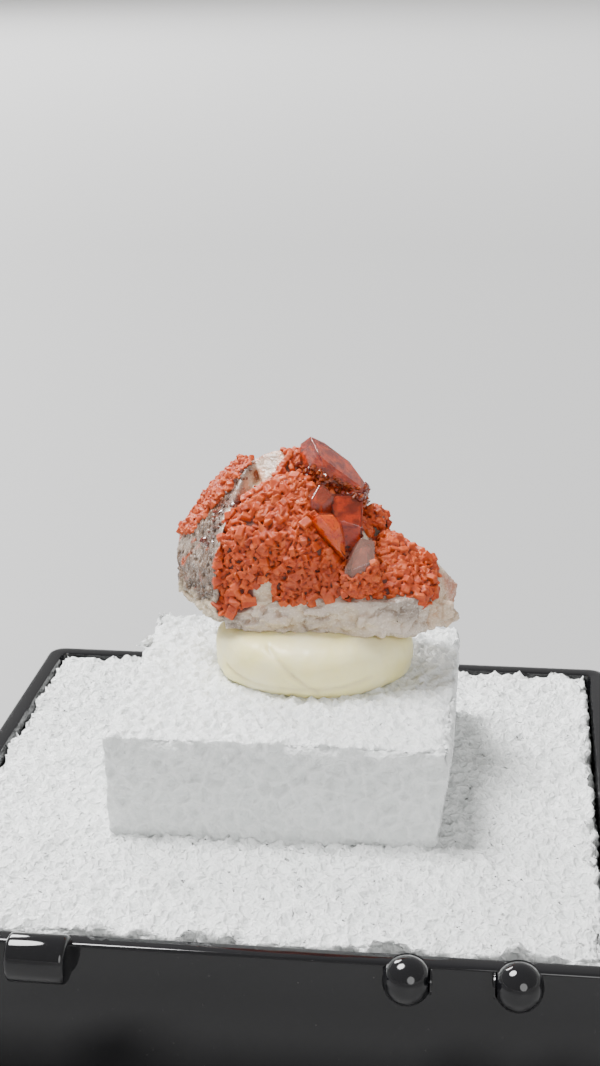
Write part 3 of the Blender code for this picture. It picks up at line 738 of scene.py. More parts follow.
def tray_material():
    """Gloss black styrene with a little dust, fine rubs and moulding ripples."""
    made = Shader("black_styrene")
    dust = made.span(made.noise(0.22, 1.0), 0.76, 0.82, 0.0, 0.25)
    haze = made.span(made.noise(7.0, 4.0), 0.40, 0.70)
    rubs = made.noise(1.2, 2.0, (0.06, 1.0, 1.0))
    colour = made.blend(dust, (0.005, 0.005, 0.006), (0.20, 0.19, 0.18))
    rough = made.add("ShaderNodeMath", operation="ADD")
    made.put(rough.inputs[0], made.span(haze, 0.0, 1.0, 0.055, 0.13))
    made.put(rough.inputs[1], made.span(dust, 0.0, 0.5, 0.0, 0.4))
    relief = made.bump(rubs, 0.006, 0.35)
    relief = made.bump(made.noise(5.0, 1.0), 0.06, 0.12, relief)
    made.set(Base_Color=colour, Roughness=rough.outputs[0], IOR=1.59, Specular_IOR_Level=0.36, Normal=relief)
    return made.material


# Box base

def corner_loop(half, radius, z, steps=5):
    """A square loop with rounded corners."""
    loop = []
    for turn in range(4):
        angle = math.pi / 2 * turn
        sign_x, sign_y = ((1, 1), (-1, 1), (-1, -1), (1, -1))[turn]
        for step in range(steps + 1):
            a = angle + math.pi / 2 * step / steps
            loop.append((
                sign_x * (half - radius) + radius * math.cos(a),
                sign_y * (half - radius) + radius * math.sin(a),
                z,
            ))
    return loop


def lofted(bm, loops, close_first=True, close_last=True):
    """Join loops of the same count with quads."""
    rows = [[bm.verts.new(point) for point in loop] for loop in loops]
    for low, high in zip(rows, rows[1:]):
        for here in range(len(low)):
            after = (here + 1) % len(low)
            bm.faces.new((low[here], low[after], high[after], high[here]))
    if close_first:
        bm.faces.new(list(reversed(rows[0])))
    if close_last:
        bm.faces.new(rows[-1])


def turned(bm, middle, axis, profile, segments=40):
    """A closed solid of revolution about an axis, from (along, radius) pairs."""
    place = Matrix.Translation(middle) @ Vector(axis).to_track_quat("Z", "Y").to_matrix().to_4x4()
    loops = []
    for along, radius in profile:
        loops.append([
            place @ Vector((radius * math.cos(math.tau * k / segments), radius * math.sin(math.tau * k / segments), along))
            for k in range(segments)
        ])
    lofted(bm, loops)


def make_box_base():
    """The tray with softened edges, its two hinge balls with their pins, and its hinge barrel."""
    outer, inner = TRAY_OUTER / 2, TRAY_INNER / 2
    soft = 0.3
    loops = [
        corner_loop(outer - 0.9, CORNER_RADIUS - 0.4, 0.25),
        corner_loop(outer - 0.8, CORNER_RADIUS - 0.3, 0.0),
        corner_loop(outer - soft, CORNER_RADIUS, 0.0),
        corner_loop(outer - 0.09, CORNER_RADIUS, 0.09),
        corner_loop(outer, CORNER_RADIUS, soft),
        corner_loop(outer, CORNER_RADIUS, RIM_Z - soft),
        corner_loop(outer - 0.03, CORNER_RADIUS, RIM_Z - 0.12),
        corner_loop(outer - 0.12, CORNER_RADIUS, RIM_Z - 0.03),
        corner_loop(outer - soft, CORNER_RADIUS, RIM_Z),
        corner_loop(inner + 0.2, CORNER_RADIUS / 2, RIM_Z),
        corner_loop(inner + 0.06, CORNER_RADIUS / 2, RIM_Z - 0.05),
        corner_loop(inner, CORNER_RADIUS / 2, RIM_Z - 0.2),
        corner_loop(inner, CORNER_RADIUS / 2, FLOOR + 0.25),
        corner_loop(inner - 0.25, CORNER_RADIUS / 2, FLOOR),
    ]
    bm = bmesh.new()
    lofted(bm, loops)
    radius = KNUCKLE_DIAMETER / 2
    low_ball, high_ball = KNUCKLE_BALLS_X
    for ball_x, side in ((low_ball, 1.0), (high_ball, -1.0)):
        middle = Vector((ball_x, HINGE_Y, HINGE_Z))
        ball = [(-radius * math.cos(math.pi * k / 24), radius * math.sin(math.pi * k / 24) + 1e-4) for k in range(23)]
        collar = [(radius * 0.93, radius * 0.52), (radius * 0.99, radius * 0.50), (radius * 1.0, radius * 0.30)]
        turned(bm, middle, (side, 0, 0), ball + collar)
        neck = [(-0.2, radius * 0.86), (0.55, radius * 0.80), (0.95, radius * 0.84), (1.3, radius * 0.9)]
        turned(bm, middle - Vector((0, 0, 0.25)), (0, 1, 0), neck)
    low_x, high_x = BARREL_X
    length = high_x - low_x
    ends = [(0.0, radius * 0.6), (0.02, radius * 0.86), (0.15, radius * 0.97), (0.32, radius)]
    mirrored = [(length - along, size) for along, size in reversed(ends)]
    turned(bm, Vector((low_x, HINGE_Y, HINGE_Z)), (1, 0, 0), ends + mirrored)
    bmesh.ops.recalc_face_normals(bm, faces=bm.faces)
    piece = bmesh_piece("box_base_detail", bm, "box_base", tray_material(), smooth=True)
    split = piece.modifiers.new("sharp_edges", "EDGE_SPLIT")
    split.split_angle = math.radians(38)
    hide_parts("box_base")
    return piece


# Foam

def foam_block(bm, voxel, cell, relief, side_relief, edge_wear, seed):
    """A foam solid with crumpled cells on its skin and a torn, crumbly edge."""
    low = np.array([min(vert.co[axis] for vert in bm.verts) for axis in range(3)])
    high = np.array([max(vert.co[axis] for vert in bm.verts) for axis in range(3)])
    points, normals, faces = fused(*points_and_faces(bm), voxel)
    sides = np.sort(np.minimum(points - low, high - points), axis=1)
    edge = ramp(EDGE_REACH - np.hypot(sides[:, 0], sides[:, 1]), 0.0, EDGE_REACH)
    nearest, following, own = cell_noise(points, cell, seed)
    wall = np.exp(-(following - nearest) / 0.10)
    ripple = smooth_noise(points, cell * 0.5, seed + 3, 2)
    flatness = np.abs(normals[:, 2])
    relief = side_relief + (relief - side_relief) * flatness
    height = relief * (0.7 * wall - 0.6 + 0.35 * own + 0.5 * ripple)
    torn = ramp(smooth_noise(points, 1.3, seed + 7, 3), -0.3, 0.6)
    upper = ramp(points[:, 2], high[2] - 2.5, high[2] - 1.0)
    height -= edge_wear * edge * (0.15 + torn) * (0.25 + 0.75 * upper)
    upper = ramp(points[:, 2], high[2] - 1.0, high[2] - 0.2)
    moved = points + normals * height[:, None]
    moved[:, 2] += EDGE_LIFT * edge * upper * ramp(smooth_noise(points, 1.7, seed + 9, 2), 0.0, 0.8)
    shade = 1.0 - 0.16 * ramp(-ripple, -0.2, 1.0) - 0.08 * own
    return moved, faces, np.asarray(FOAM_WHITE) * shade[:, None]


def make_foam_bed():
    bm = bmesh.new()
    height = BED_TOP_Z - BED_BOTTOM_Z
    place = Matrix.Translation((0, 0, BED_BOTTOM_Z + height / 2)) @ Matrix.Diagonal((BED_SIDE, BED_SIDE, height, 1))
    bmesh.ops.create_cube(bm, size=1.0, matrix=place)
    points, faces, tint = foam_block(bm, BED_VOXEL, 1.05, 0.55, 0.40, 0.55, 5)
    piece = add_piece("foam_bed_detail", points, faces, "foam_bed", foam_material("bed_foam", 0.8, 0.14, 0.7, 0.0), tint)
    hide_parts("foam_bed")
    return piece


def make_foam_riser():
    corners = [(x, y, BED_TOP_Z - 0.6) for x, y in RISER_FOOT] + [(x, y, RISER_TOP_Z) for x, y in RISER_HEAD]
    bm = hull(corners)
    for middle, size in FOAM_SCRAPS:
        place = Matrix.Translation(middle) @ Matrix.Diagonal((*size, 1.0))
        bmesh.ops.create_icosphere(bm, subdivisions=2, radius=0.6, matrix=place)
    points, faces, tint = foam_block(bm, RISER_VOXEL, 0.9, 0.40, 0.14, 1.05, 11)
    material = foam_material("riser_foam", 1.25, 0.09, 0.5, 0.4)
    piece = add_piece("foam_riser_detail", points, faces, "foam_riser", material, tint)
    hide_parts("foam_riser")
    return piece


# Putty

PUTTY_TOP_SQUARENESS = 0.65
PUTTY_FOOT_SQUARENESS = 0.45
PUTTY_CREASES = (
    (((-1.5, 20.9), (0.0, 19.7), (1.1, 18.8), (2.3, 17.9)), 0.16, 0.16),
    (((0.4, 19.4), (1.0, 19.0), (1.6, 18.2)), 0.10, 0.12),
    (((-0.3, 19.0), (0.5, 18.5), (1.2, 18.3)), 0.07, 0.10),
    (((-4.8, 18.7), (-2.6, 18.2), (0.6, 18.1), (4.0, 18.3), (6.2, 18.8)), 0.14, 0.18),
)


def make_putty():
    """A pressed pad of putty, with the folds of the two lumps that it was kneaded from."""
    bm = bmesh.new()
    low, high = RISER_TOP_Z - 0.7, TACK_TOP_Z + 0.40
    bmesh.ops.create_uvsphere(bm, u_segments=96, v_segments=48, radius=1.0)
    for vert in bm.verts:
        squareness = PUTTY_TOP_SQUARENESS if vert.co.z > 0.0 else PUTTY_FOOT_SQUARENESS
        level = math.copysign(abs(vert.co.z) ** squareness, vert.co.z)
        reach = max(vert.co.xy.length, 1e-6)
        widen = reach ** squareness / reach
        vert.co.x = TACK_CENTRE[0] + vert.co.x * widen * TACK_RADII[0]
        vert.co.y = TACK_CENTRE[1] + vert.co.y * widen * TACK_RADII[1]
        vert.co.z = (low + high) / 2 + level * (high - low) / 2
    points, normals, faces = fused(*points_and_faces(bm), 0.16)
    out = points[:, :2] - np.array(TACK_CENTRE)
    out = out / np.maximum(np.linalg.norm(out, axis=1), 1e-6)[:, None]
    height = 0.20 * smooth_noise(points, 3.2, 61, 2) + 0.04 * smooth_noise(points, 0.8, 64, 2)
    groove = np.zeros(len(points))
    front = ramp(-out[:, 1], 0.0, 0.4)
    places = points[:, [0, 2]]
    for path, width, depth in PUTTY_CREASES:
        away = np.full(len(points), 9.0)
        for start, end in zip(path, path[1:]):
            start, along = np.array(start), np.array(end) - np.array(start)
            part = np.clip(((places - start) @ along) / (along @ along), 0.0, 1.0)
            away = np.minimum(away, np.linalg.norm(places - start - part[:, None] * along, axis=1))
        groove += depth * np.exp(-(away / width) ** 2) * front
    ring = points[:, 2] + 0.12 * smooth_noise(points, 2.6, 71, 2)
    groove += 0.14 * np.exp(-((ring - 18.35) / 0.16) ** 2) * (1.0 - front)
    height -= groove
    moved = points + normals * height[:, None]
    # Painted shade: the putty is darker in its folds and its seam, by how deep each groove is
    tint = mixed(PUTTY_CREAM, (0.62, 0.55, 0.36), np.clip(groove * 3.0, 0.0, 0.6))
    piece = add_piece("putty_pad", moved, faces, "mineral_tack", putty_material(), tint)
    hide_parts("mineral_tack")
    return piece


# Stone

def crust_share(points, normals):
    """How much of the red crust lies on each point."""
    share = np.zeros(len(points))
    for seed, (_, view, _, reach, outline) in enumerate(CRUSTS):
        part = region(points, normals, view, outline, seed=seed, facing=CRUST_FACING, reach=reach)
        share = np.maximum(share, part)
    return share


def paint_stone(points, normals, crust):
    """The colour of the quartz at each point."""
    heights = points[:, 2] - SEAT.z
    cloud = smooth_noise(points, 2.2, 3, 3)
    tint = mixed(QUARTZ_WHITE, QUARTZ_GREY, ramp(cloud, -0.2, 1.2) * 0.8)
    tint = mixed(tint, QUARTZ_CREAM, ramp(smooth_noise(points, 3.0, 9, 2), 0.1, 1.0) * 0.7)
    behind = ramp(points[:, 1] - SEAT.y, 1.0, 4.0)
    stain = ramp(smooth_noise(points, (2.2, 2.2, 1.4), 17, 3) + 0.25 * behind, 0.45, 0.85) * ramp(heights, 1.0, 3.0)
    tint = mixed(tint, RUST, stain * 0.7)
    smoky = ramp(smooth_noise(points, (1.8, 1.8, 3.0), 19, 3), 0.0, 0.9) * behind
    tint = mixed(tint, LEFT_BROWN, smoky * 0.5)
    knob = ramp(heights, 8.6, 9.8) * ramp(points[:, 0] + 6.5, 0.0, 1.2)
    peach = ramp(smooth_noise(points, (0.5, 0.5, 2.4), 15, 2), -0.4, 0.7)
    tint = mixed(tint, KNOB_PEACH, knob * (0.25 + 0.65 * peach))

    left = region(points, normals, FRONT, LEFT_FACE, 0.25, 0.3, 21)
    left = np.maximum(left, ramp(-normals[:, 0], 0.5, 0.8) * ramp(-points[:, 0], 5.0, 6.5))
    tint = mixed(tint, LEFT_BROWN, left * (0.75 + 0.25 * ramp(cloud, -0.5, 0.6)))
    slanted = points @ np.array([[0.80, 0.0, -0.60], [0.0, 1.0, 0.0], [0.60, 0.0, 0.80]])
    nearest, _, own = cell_noise(slanted, (0.62, 0.42, 0.26), 31)
    specks = ramp(0.46 - nearest, 0.0, 0.16) * (own > 0.40)
    tint = mixed(tint, SPECK_BROWN, specks * left * 0.85)
    pale = ramp(smooth_noise(points, 0.45, 35, 2), 0.35, 0.9)
    tint = mixed(tint, QUARTZ_WHITE, pale * left * 0.55)
    streaked = region(points, normals, FRONT, LEFT_STREAKS, 0.5, 0.4, 34, -0.4)
    rusty = ramp(smooth_noise(slanted, (2.8, 1.0, 0.5), 33, 3) + 0.45 * streaked, 0.35, 0.8)
    tint = mixed(tint, RUST, rusty * np.maximum(left, streaked) * 0.85)
    rim = region(points, normals, FRONT, LEFT_RIM, 0.5, 0.4, 22)
    rim = np.maximum(rim, ramp(1.6 - heights, 0.0, 0.9) * ramp(-points[:, 0], 5.0, 6.5))
    tint = mixed(tint, QUARTZ_CREAM, rim * 0.9)
    band = region(points, normals, FRONT, GREY_BAND, 0.25, 0.35, 23, -0.4)
    tint = mixed(tint, BAND_BROWN, band * (0.6 + 0.35 * ramp(smooth_noise(points, 0.6, 36, 2), -0.5, 0.5)))

    arch = region(points, normals, FRONT, ARCH, 0.12, 0.1, 24)
    tint = mixed(tint, QUARTZ_CREAM, arch * 0.8)
    end = region(points, normals, FRONT, RIGHT_END, 0.4, 0.3, 25)
    tint = mixed(tint, (0.70, 0.52, 0.36), end * 0.7)
    tip = region(points, normals, FRONT, TIP_STAIN, 0.5, 0.4, 28, -0.4)
    tint = mixed(tint, RUST, tip * 0.7)
    hollow = np.zeros(len(points))
    for seed, outline in enumerate(CAVITIES):
        hollow = np.maximum(hollow, region(points, normals, FRONT, outline, 0.2, 0.2, 26 + seed))
    tint = mixed(tint, (0.34, 0.050, 0.012), hollow * 0.9)
    # Painted shade: the quartz under the crust is near-black, for the shade in the gaps between its crystals
    tint = mixed(tint, CRUST_PAINTED_SHADE, crust * 0.92)
    for name, look in CRYSTAL_LOOKS.items():
        tint = mixed(tint, look[0], ramp(inside_crystal(points, name), -0.05, 0.1))
    return tint


def inside_crystal(points, name):
    """How deep each point is inside a larger crystal; outside it the depth is negative."""
    middle, flat_faces = CRYSTALS[name]
    local = points - np.array(SEAT + Vector(middle))
    depths = [distance - local @ np.array(heading(angle, rise)) for angle, rise, distance in flat_faces]
    return np.min(depths, axis=0)


def make_matrix():
    """The quartz that everything grows on, broken along its lower edge."""
    bm = bmesh.new()
    for corners in MASSES.values():
        part = hull([SEAT + Vector(corner) for corner in corners])
        mesh = bpy.data.meshes.new("part")
        part.to_mesh(mesh)
        part.free()
        bm.from_mesh(mesh)
        bpy.data.meshes.remove(mesh)
    for middle, size, turn in FLAKES:
        place = Matrix.Translation(SEAT + Vector(middle)) @ Matrix.Rotation(math.radians(turn), 4, "Z")
        bmesh.ops.create_cube(bm, size=1.0, matrix=place @ Matrix.Diagonal((*size, 1.0)))
    points, normals, faces = fused(*points_and_faces(bm), MATRIX_VOXEL)

    crust = crust_share(points, normals)
    heights = points[:, 2] - SEAT.z
    lumps = smooth_noise(points, 1.9, 51, 3)
    broken = ramp(3.2 - heights, 0.0, 1.4)
    bent = points + 0.45 * np.stack([smooth_noise(points, 1.5, 101 + k, 2) for k in range(3)], axis=1)
    _, _, step_own = cell_noise(bent, (2.6, 1.6, 0.9), 53)
    nearest, _, _ = cell_noise(bent, (1.0, 0.8, 0.55), 55)
    chips = 0.30 * (step_own - 0.5) + 0.34 * (0.45 - nearest)
    rough = 0.10 * smooth_noise(points, 1.1, 57, 3)
    pits, _, pit_own = cell_noise(points, 0.55, 59)
    frost = ramp(-points[:, 0], 4.5, 6.0) * (1.0 - crust)
    near_wall, next_wall, _ = cell_noise(bent, (3.4, 2.6, 1.3), 58)
    cracks = np.exp(-((next_wall - near_wall) / 0.05) ** 2)
    move = rough + broken * (1.0 - crust) * (chips - 0.16 * cracks)
    move -= frost * 0.16 * ramp(0.42 - pits, 0.0, 0.2) * (pit_own > 0.35)
    move += crust * 0.24 * lumps
    for name in CRYSTAL_LOOKS:
        move -= 0.45 * ramp(inside_crystal(points, name), 0.1, 0.9)
    moved = points + normals * move[:, None]
    tint = paint_stone(moved, normals, crust)
    # Painted shade: the quartz is darker in its hollows
    tint = mixed(tint, tint * tint * 1.2, 0.8 * ramp(hollowness(moved, normals, faces, 12), 0.02, 0.16))
    tint = np.column_stack([tint, 1.0 - crust])
    piece = add_piece("quartz_matrix", moved, faces, "quartz_cluster", matrix_material(), tint)
    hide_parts("quartz_cluster")
    return moved, normals, crust


def crystal_skin(name):
    """Points all over the faces of a larger crystal, and their normals."""
    bm = crystal(*CRYSTALS[name])
    bmesh.ops.triangulate(bm, faces=bm.faces)
    points, normals = [], []
    for face in bm.faces:
        a, b, c = (np.array(vert.co) for vert in face.verts)
        steps = max(2, int(max(np.linalg.norm(b - a), np.linalg.norm(c - a)) / SKIN_STEP))
        for i in range(steps + 1):
            for j in range(steps + 1 - i):
                points.append(a + (b - a) * i / steps + (c - a) * j / steps)
                normals.append(np.array(face.normal))
    bm.free()
    return np.array(points), np.array(normals)


def spread(points, spacings, chance):
    """Indices of points kept at least their spacing apart, taken in a shaken order."""
    widest = max(spacings)
    taken = {}
    kept = []
    order = list(range(len(points)))
    chance.shuffle(order)
    rows = points.tolist()
    for index in order:
        x, y, z = rows[index]
        key = (int(x // widest), int(y // widest), int(z // widest))
        reach = spacings[index] ** 2
        clear = True
        for step in itertools.product((-1, 0, 1), repeat=3):
            for ox, oy, oz in taken.get((key[0] + step[0], key[1] + step[1], key[2] + step[2]), ()):
                if (ox - x) ** 2 + (oy - y) ** 2 + (oz - z) ** 2 < reach:
                    clear = False
                    break
            if not clear:
                break
        if clear:
            taken.setdefault(key, []).append((x, y, z))
            kept.append(index)
    return kept


def kd_tree(points):
    """A search tree on points."""
    tree = KDTree(len(points))
    for number, point in enumerate(points):
        tree.insert(point, number)
    tree.balance()
    return tree


def bevelled_block(taper, skew, bevel):
    """One blocky crystal, a unit across and a unit high, with its foot at the origin."""
    bm = bmesh.new()
    bmesh.ops.create_cube(bm, size=1.0, matrix=Matrix.Translation((0, 0, 0.5)))
    for vert in bm.verts:
        if vert.co.z > 0.5:
            vert.co.x = vert.co.x * taper + skew
            vert.co.y = vert.co.y * taper
            vert.co.z += 0.16 * vert.co.x
    bmesh.ops.bevel(bm, geom=bm.edges[:], offset=bevel, segments=1, affect="EDGES")
    return points_and_faces(bm)


def pointed_prism(shoulder, lean):
    """One six-sided crystal, a unit across and a unit high, with its foot at the origin."""
    bm = bmesh.new()
    rows = []
    for level in (0.0, shoulder):
        rows.append([
            bm.verts.new((0.5 * math.cos(math.tau * k / 6), 0.5 * math.sin(math.tau * k / 6), level + lean * (k % 2)))
            for k in range(6)
        ])
    tip = bm.verts.new((0.06, 0.03, 1.0))
    bm.faces.new(list(reversed(rows[0])))
    for here in range(6):
        after = (here + 1) % 6
        bm.faces.new((rows[0][here], rows[0][after], rows[1][after], rows[1][here]))
        bm.faces.new((rows[1][here], rows[1][after], tip))
    return points_and_faces(bm)


def chip(chance):
    """One broken lump, about a unit across and a unit high, with its foot at the origin."""
    corners = []
    for _ in range(11):
        spot = Vector([chance.uniform(-1.0, 1.0) for _ in range(3)])
        spot = spot / max(abs(part) for part in spot)
        corners.append(Vector((0.55 * spot.x, 0.55 * spot.y, 0.5 + 0.5 * spot.z)) * chance.uniform(0.85, 1.0))
    return points_and_faces(hull(corners))


def planted(templates, choices, feet, axes, sizes, chance):
    """Stand one template on each foot, along its axis, and return points, faces and each point's owner."""
    all_points, all_faces, owners = [], [], []
    start = 0
    for number, (choice, foot, axis, size) in enumerate(zip(choices, feet, axes, sizes)):
        points, faces = templates[choice]
        turn = Vector(axis).to_track_quat("Z", "Y").to_matrix()
        spin = Matrix.Rotation(chance.uniform(0.0, math.tau), 3, "Z")
        all_points.append((points * size) @ np.array(turn @ spin).T + foot)
        all_faces.extend(tuple(start + corner for corner in face) for face in faces)
        owners.append(np.full(len(points), number))
        start += len(points)
    return np.concatenate(all_points), all_faces, np.concatenate(owners)


def make_crust(points, normals):
    """The crust of small blocky red crystals grown together, in one piece for each place where it grows."""
    chance = random.Random(7)
    skins = [crystal_skin(name) for name in CRUSTED_CRYSTALS]
    bare = np.min([-inside_crystal(points, name) for name in CRYSTALS], axis=0) > 0.0
    points = np.concatenate([points[bare]] + [skin[0] for skin in skins])
    normals = np.concatenate([normals[bare]] + [skin[1] for skin in skins])
    material = crust_material()
    templates = [
        bevelled_block(0.90, 0.05, 0.07), bevelled_block(0.78, -0.08, 0.10), bevelled_block(0.98, 0.12, 0.05),
        pointed_prism(0.62, 0.05),
    ]
    blocks = len(templates)
    templates += [chip(chance) for _ in range(CHIP_KINDS)]
    for seed, (name, view, grain, reach, outline) in enumerate(CRUSTS):
        share = region(points, normals, view, outline, seed=seed, facing=CRUST_FACING, reach=reach)
        inside = np.flatnonzero(share > 0.5)
        places, outward = points[inside], normals[inside]
        coarse = ramp(smooth_noise(places, 2.4, 81 + seed, 2), -0.6, 0.8)
        widths = grain * (0.56 + 0.34 * coarse)
        kept = spread(places, (widths * 0.46).tolist(), chance)
        tree = kd_tree(places[kept])
        kept = [index for index in kept if len(tree.find_range(places[index], CRUST_COMPANY)) > 8]
        feet, axes, sizes, choices, tones = [], [], [], [], []
        for index in kept:
            lean = np.array([chance.uniform(-0.55, 0.55) for _ in range(3)])
            axis = outward[index] + lean
            axis = axis / np.linalg.norm(axis)
            width = widths[index] * chance.uniform(0.7, 1.3)
            length = width * chance.uniform(0.8, 1.35)
            feet.append(places[index] - axis * length * chance.uniform(0.40, 0.72))
            axes.append(axis)
            sizes.append((width, width * chance.uniform(0.6, 1.0), length))
            chipped = chance.random() < CHIP_SHARE
            choices.append(blocks + chance.randrange(CHIP_KINDS) if chipped else chance.randrange(blocks))
            tones.append(chance.random())
        placed, faces = planted(templates, choices, feet, axes, sizes, chance)[:2]
        skin, skin_normals, faces = fused(placed, faces, CRUST_VOXEL if view == FRONT else BACK_CRUST_VOXEL)
        tree = kd_tree([foot + axis * 0.5 * size[2] for foot, axis, size in zip(feet, axes, sizes)])
        tones = np.array(tones)[[tree.find(point)[1] for point in skin]]
        tint = mixed(CRUST_MAIN, CRUST_PALE, ramp(tones, 0.55, 1.0) * 0.5)
        tint = mixed(tint, CRUST_DARK, ramp(0.35 - tones, 0.0, 0.3) * 0.6)
        pink = region(skin, skin_normals, FRONT, PINK_ZONE, 0.5, 0.4, 29, -0.6)
        tint = mixed(tint, CRUST_PINK, pink * 0.55)
        sunken = hollowness(skin, skin_normals, faces, 24)
        # Painted light on the crust: a painted highlight on its ridges and painted shade in its crevices, from how
        # far each point lies below its surroundings
        tint = mixed(tint, CRUST_PALE, ramp(-sunken, 0.02, 0.12) * 0.55)
        tint = mixed(tint, CRUST_PAINTED_SHADE, ramp(sunken, -0.01, 0.09) * 0.92)
        tree = kd_tree(places)
        below = np.array([tree.find(point)[1] for point in skin])
        sunk = ((skin - places[below]) * outward[below]).sum(axis=1) < -CRUST_SUNK
        seen, faces = trimmed(faces, sunk)
        add_piece(f"red_crust_{name}", skin[seen], faces, "quartz_cluster", material, tint[seen])


def make_hollows(points, normals, crust):
    """The dark, sparkling small crystals that line the hollows between the larger ones."""
    chance = random.Random(19)
    share = np.zeros(len(points))
    for seed, outline in enumerate(CAVITIES):
        share = np.maximum(share, region(points, normals, FRONT, outline, 0.2, 0.2, 26 + seed))
    share = np.maximum(share, region(points, normals, FRONT, GREY_BAND, 0.2, 0.2, 23, -0.4))
    inside = np.flatnonzero((share > 0.4) & (crust < 0.5))
    places, outward = points[inside], normals[inside]
    for name in SPARKLED_CRYSTALS:
        skin, skin_normals = crystal_skin(name)
        banded = region(skin, skin_normals, FRONT, SPARKLE_BAND, 0.1, 0.25, 37) > 0.5
        bare = inside_crystal(skin, "second_amber") < 0.02
        places = np.concatenate([places, skin[banded & bare]])
        outward = np.concatenate([outward, skin_normals[banded & bare]])
    banded = region(places, outward, FRONT, GREY_BAND, 0.2, 0.2, 23, -0.4)
    kept = spread(places, (0.26 + 0.30 * banded).tolist(), chance)
    feet, axes, sizes, choices, tones = [], [], [], [], []
    for index in kept:
        lean = np.array([chance.uniform(-0.6, 0.6) for _ in range(3)])
        axis = outward[index] + lean
        axis = axis / np.linalg.norm(axis)
        width = chance.uniform(0.20, 0.44)
        length = width * chance.uniform(0.9, 1.6)
        feet.append(places[index] - axis * 0.35 * length)
        axes.append(axis)
        sizes.append((width, width * chance.uniform(0.8, 1.0), length))
        choices.append(0)
        tones.append(chance.random())
    placed, faces, owners = planted([pointed_prism(0.55, 0.04)], choices, feet, axes, sizes, chance)
    tones = np.array(tones)[owners]
    tint = mixed((0.22, 0.018, 0.006), (0.62, 0.13, 0.03), ramp(tones, 0.4, 1.0) * 0.8)
    grey = region(placed, placed * 0.0, FRONT, GREY_BAND, 0.3, 0.2, 23, -0.4)
    tint = mixed(tint, mixed((0.20, 0.12, 0.09), (0.50, 0.36, 0.28), ramp(tones, 0.4, 1.0)), grey)
    add_piece("dark_sparkle_crystals", placed, faces, "quartz_cluster", sparkle_material(), tint, smooth=False)


FLECKS = {"tall_amber": 150, "second_amber": 60, "small_mauve": 24, "bright_amber": 40, "rear_amber": 60}


def make_crystals():
    """The larger clear crystals, with flecks of iron oxide inside them."""
    chance = random.Random(23)
    feet, axes, sizes, tones = [], [], [], []
    for name, (middle, flat_faces) in CRYSTALS.items():
        bm = crystal(middle, flat_faces)
        tree = BVHTree.FromBMesh(bm)
        low = Vector([min(vert.co[k] for vert in bm.verts) for k in range(3)])
        high = Vector([max(vert.co[k] for vert in bm.verts) for k in range(3)])
        bmesh.ops.bevel(bm, geom=bm.edges[:], offset=CRYSTAL_BEVEL, segments=1, affect="EDGES", clamp_overlap=True)
        bmesh.ops.recalc_face_normals(bm, faces=bm.faces)
        glass = CRYSTAL_LOOKS[name][1:]
        bmesh_piece(name, bm, "quartz_cluster", crystal_material(name + "_glass", *glass))
        if name in HEARTS:
            depth, dark, bright, painted_glow = HEARTS[name]
            bm = crystal(middle, [(angle, rise, distance - depth) for angle, rise, distance in flat_faces])
            bmesh.ops.bevel(bm, geom=bm.edges[:], offset=HEART_BEVEL, segments=1, affect="EDGES", clamp_overlap=True)
            heart = heart_material(name + "_cloud", dark, bright, SEAT.z + middle[2] + painted_glow)
            bmesh_piece(name + "_heart", bm, "quartz_cluster", heart)
        wanted = FLECKS.get(name, 0)
        tries = 0
        while wanted and tries < 6000:
            tries += 1
            spot = Vector([chance.uniform(a, b) for a, b in zip(low, high)])
            near, normal, _, away = tree.find_nearest(spot)
            if (spot - near).dot(normal) > -0.22:
                continue
            if chance.random() < 0.75 * (spot.z - low.z) / (high.z - low.z):
                continue
            wanted -= 1
            feet.append(np.array(spot))
            axes.append(np.array(normal) + np.array([chance.uniform(-0.5, 0.5) for _ in range(3)]))
            width = chance.uniform(0.08, 0.26)
            sizes.append((width, width * chance.uniform(0.5, 1.0), 0.02))
            tones.append(chance.random())
    placed, faces, owners = planted([bevelled_block(0.8, 0.0, 0.1)], [0] * len(feet), feet, axes, sizes, chance)
    tones = np.array(tones)[owners]
    tint = mixed((0.45, 0.05, 0.010), (0.95, 0.30, 0.04), tones)
    add_piece("iron_flecks", placed, faces, "quartz_cluster", inclusion_material(), tint, smooth=False)


# Surroundings, in metres

FLOOR_REACH = 2.2
FLOOR_RISE = 1.0


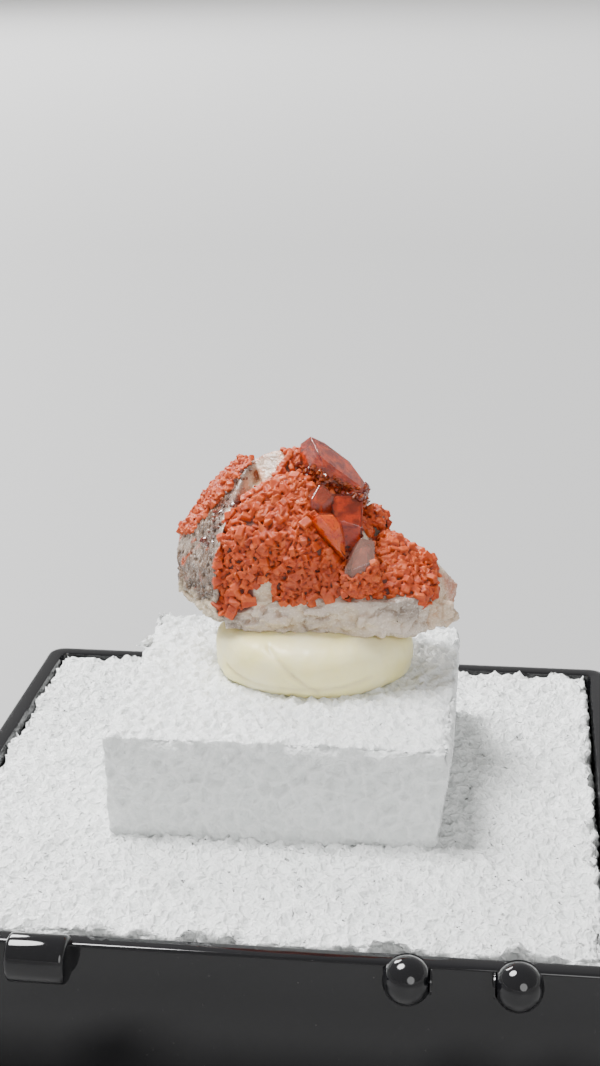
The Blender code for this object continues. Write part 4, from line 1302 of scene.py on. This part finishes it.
def make_stage():
    """A floor that rises far off on every side, pale far off and painted darker near the middle where the lamps'
    light pools; soft lights, a pale sky and the camera.
    """
    bm = bmesh.new()
    profile = [(FLOOR_REACH, 0.0)]
    for step in range(1, 13):
        turn = math.pi / 2 * step / 12
        profile.append((FLOOR_REACH + FLOOR_RISE * math.sin(turn), FLOOR_RISE * (1.0 - math.cos(turn))))
    loops = [
        [(reach * math.cos(math.tau * k / 96), reach * math.sin(math.tau * k / 96), z) for k in range(96)]
        for reach, z in profile
    ]
    lofted(bm, loops, close_last=False)
    for face in bm.faces:
        face.smooth = True
    mesh = bpy.data.meshes.new("floor")
    bm.to_mesh(mesh)
    bm.free()
    floor = bpy.data.objects.new("floor", mesh)
    bpy.context.scene.collection.objects.link(floor)
    made = Shader("floor_with_painted_shade")
    reach = made.add("ShaderNodeVectorMath", {0: made.place}, operation="LENGTH").outputs["Value"]
    # Painted shade: the floor is darker near the middle, where the lamps' light pools, and pale further off
    far = made.span(reach, 0.3, 2.0)
    made.set(Base_Color=made.blend(far, (0.34, 0.34, 0.34), (0.95, 0.95, 0.95)), Roughness=0.6)
    mesh.materials.append(made.material)

    world = bpy.data.worlds.new("pale_sky")
    world.use_nodes = True
    world.node_tree.nodes["Background"].inputs["Color"].default_value = (0.99, 0.98, 0.96, 1.0)
    world.node_tree.nodes["Background"].inputs["Strength"].default_value = 0.50
    bpy.context.scene.world = world

    aim = Vector((1.0, 3.0, 22.0)) * MM
    for name, place, size, power in (
        ("key", (-0.51, 0.21, 1.16), 0.60, 41.0),
        ("front_fill", (0.60, -1.32, 0.86), 1.00, 12.6),
        ("back_light", (-0.66, 1.05, 0.74), 0.48, 18.0),
    ):
        lamp = bpy.data.lights.new(name, "AREA")
        lamp.shape = "DISK"
        lamp.size = size
        lamp.energy = power
        item = bpy.data.objects.new(name, lamp)
        item.location = place
        item.visible_camera = False
        item.rotation_euler = (aim - Vector(place)).to_track_quat("-Z", "Y").to_euler()
        bpy.context.scene.collection.objects.link(item)

    yaw, pitch, roll = (math.radians(angle) for angle in (CAMERA_YAW, CAMERA_PITCH, CAMERA_ROLL))
    forward = Vector((math.sin(yaw) * math.cos(pitch), math.cos(yaw) * math.cos(pitch), math.sin(pitch)))
    right = Vector((math.cos(yaw), -math.sin(yaw), 0.0))
    up = right.cross(forward)
    level = Matrix((right, up, -forward)).transposed()
    lens = bpy.data.cameras.new("camera")
    lens.lens = CAMERA_LENS
    lens.clip_start = 0.002
    lens.clip_end = 20.0
    camera = bpy.data.objects.new("camera", lens)
    turn = level @ Matrix.Rotation(roll, 3, "Z")
    camera.matrix_world = Matrix.Translation(Vector(CAMERA_PLACE) * MM) @ turn.to_4x4()
    bpy.context.scene.collection.objects.link(camera)
    bpy.context.scene.camera = camera


make_stage()
make_box_base()
make_foam_bed()
make_foam_riser()
make_putty()
stone_points, stone_normals, stone_crust = make_matrix()
make_crust(stone_points, stone_normals)
make_hollows(stone_points, stone_normals, stone_crust)
make_crystals()
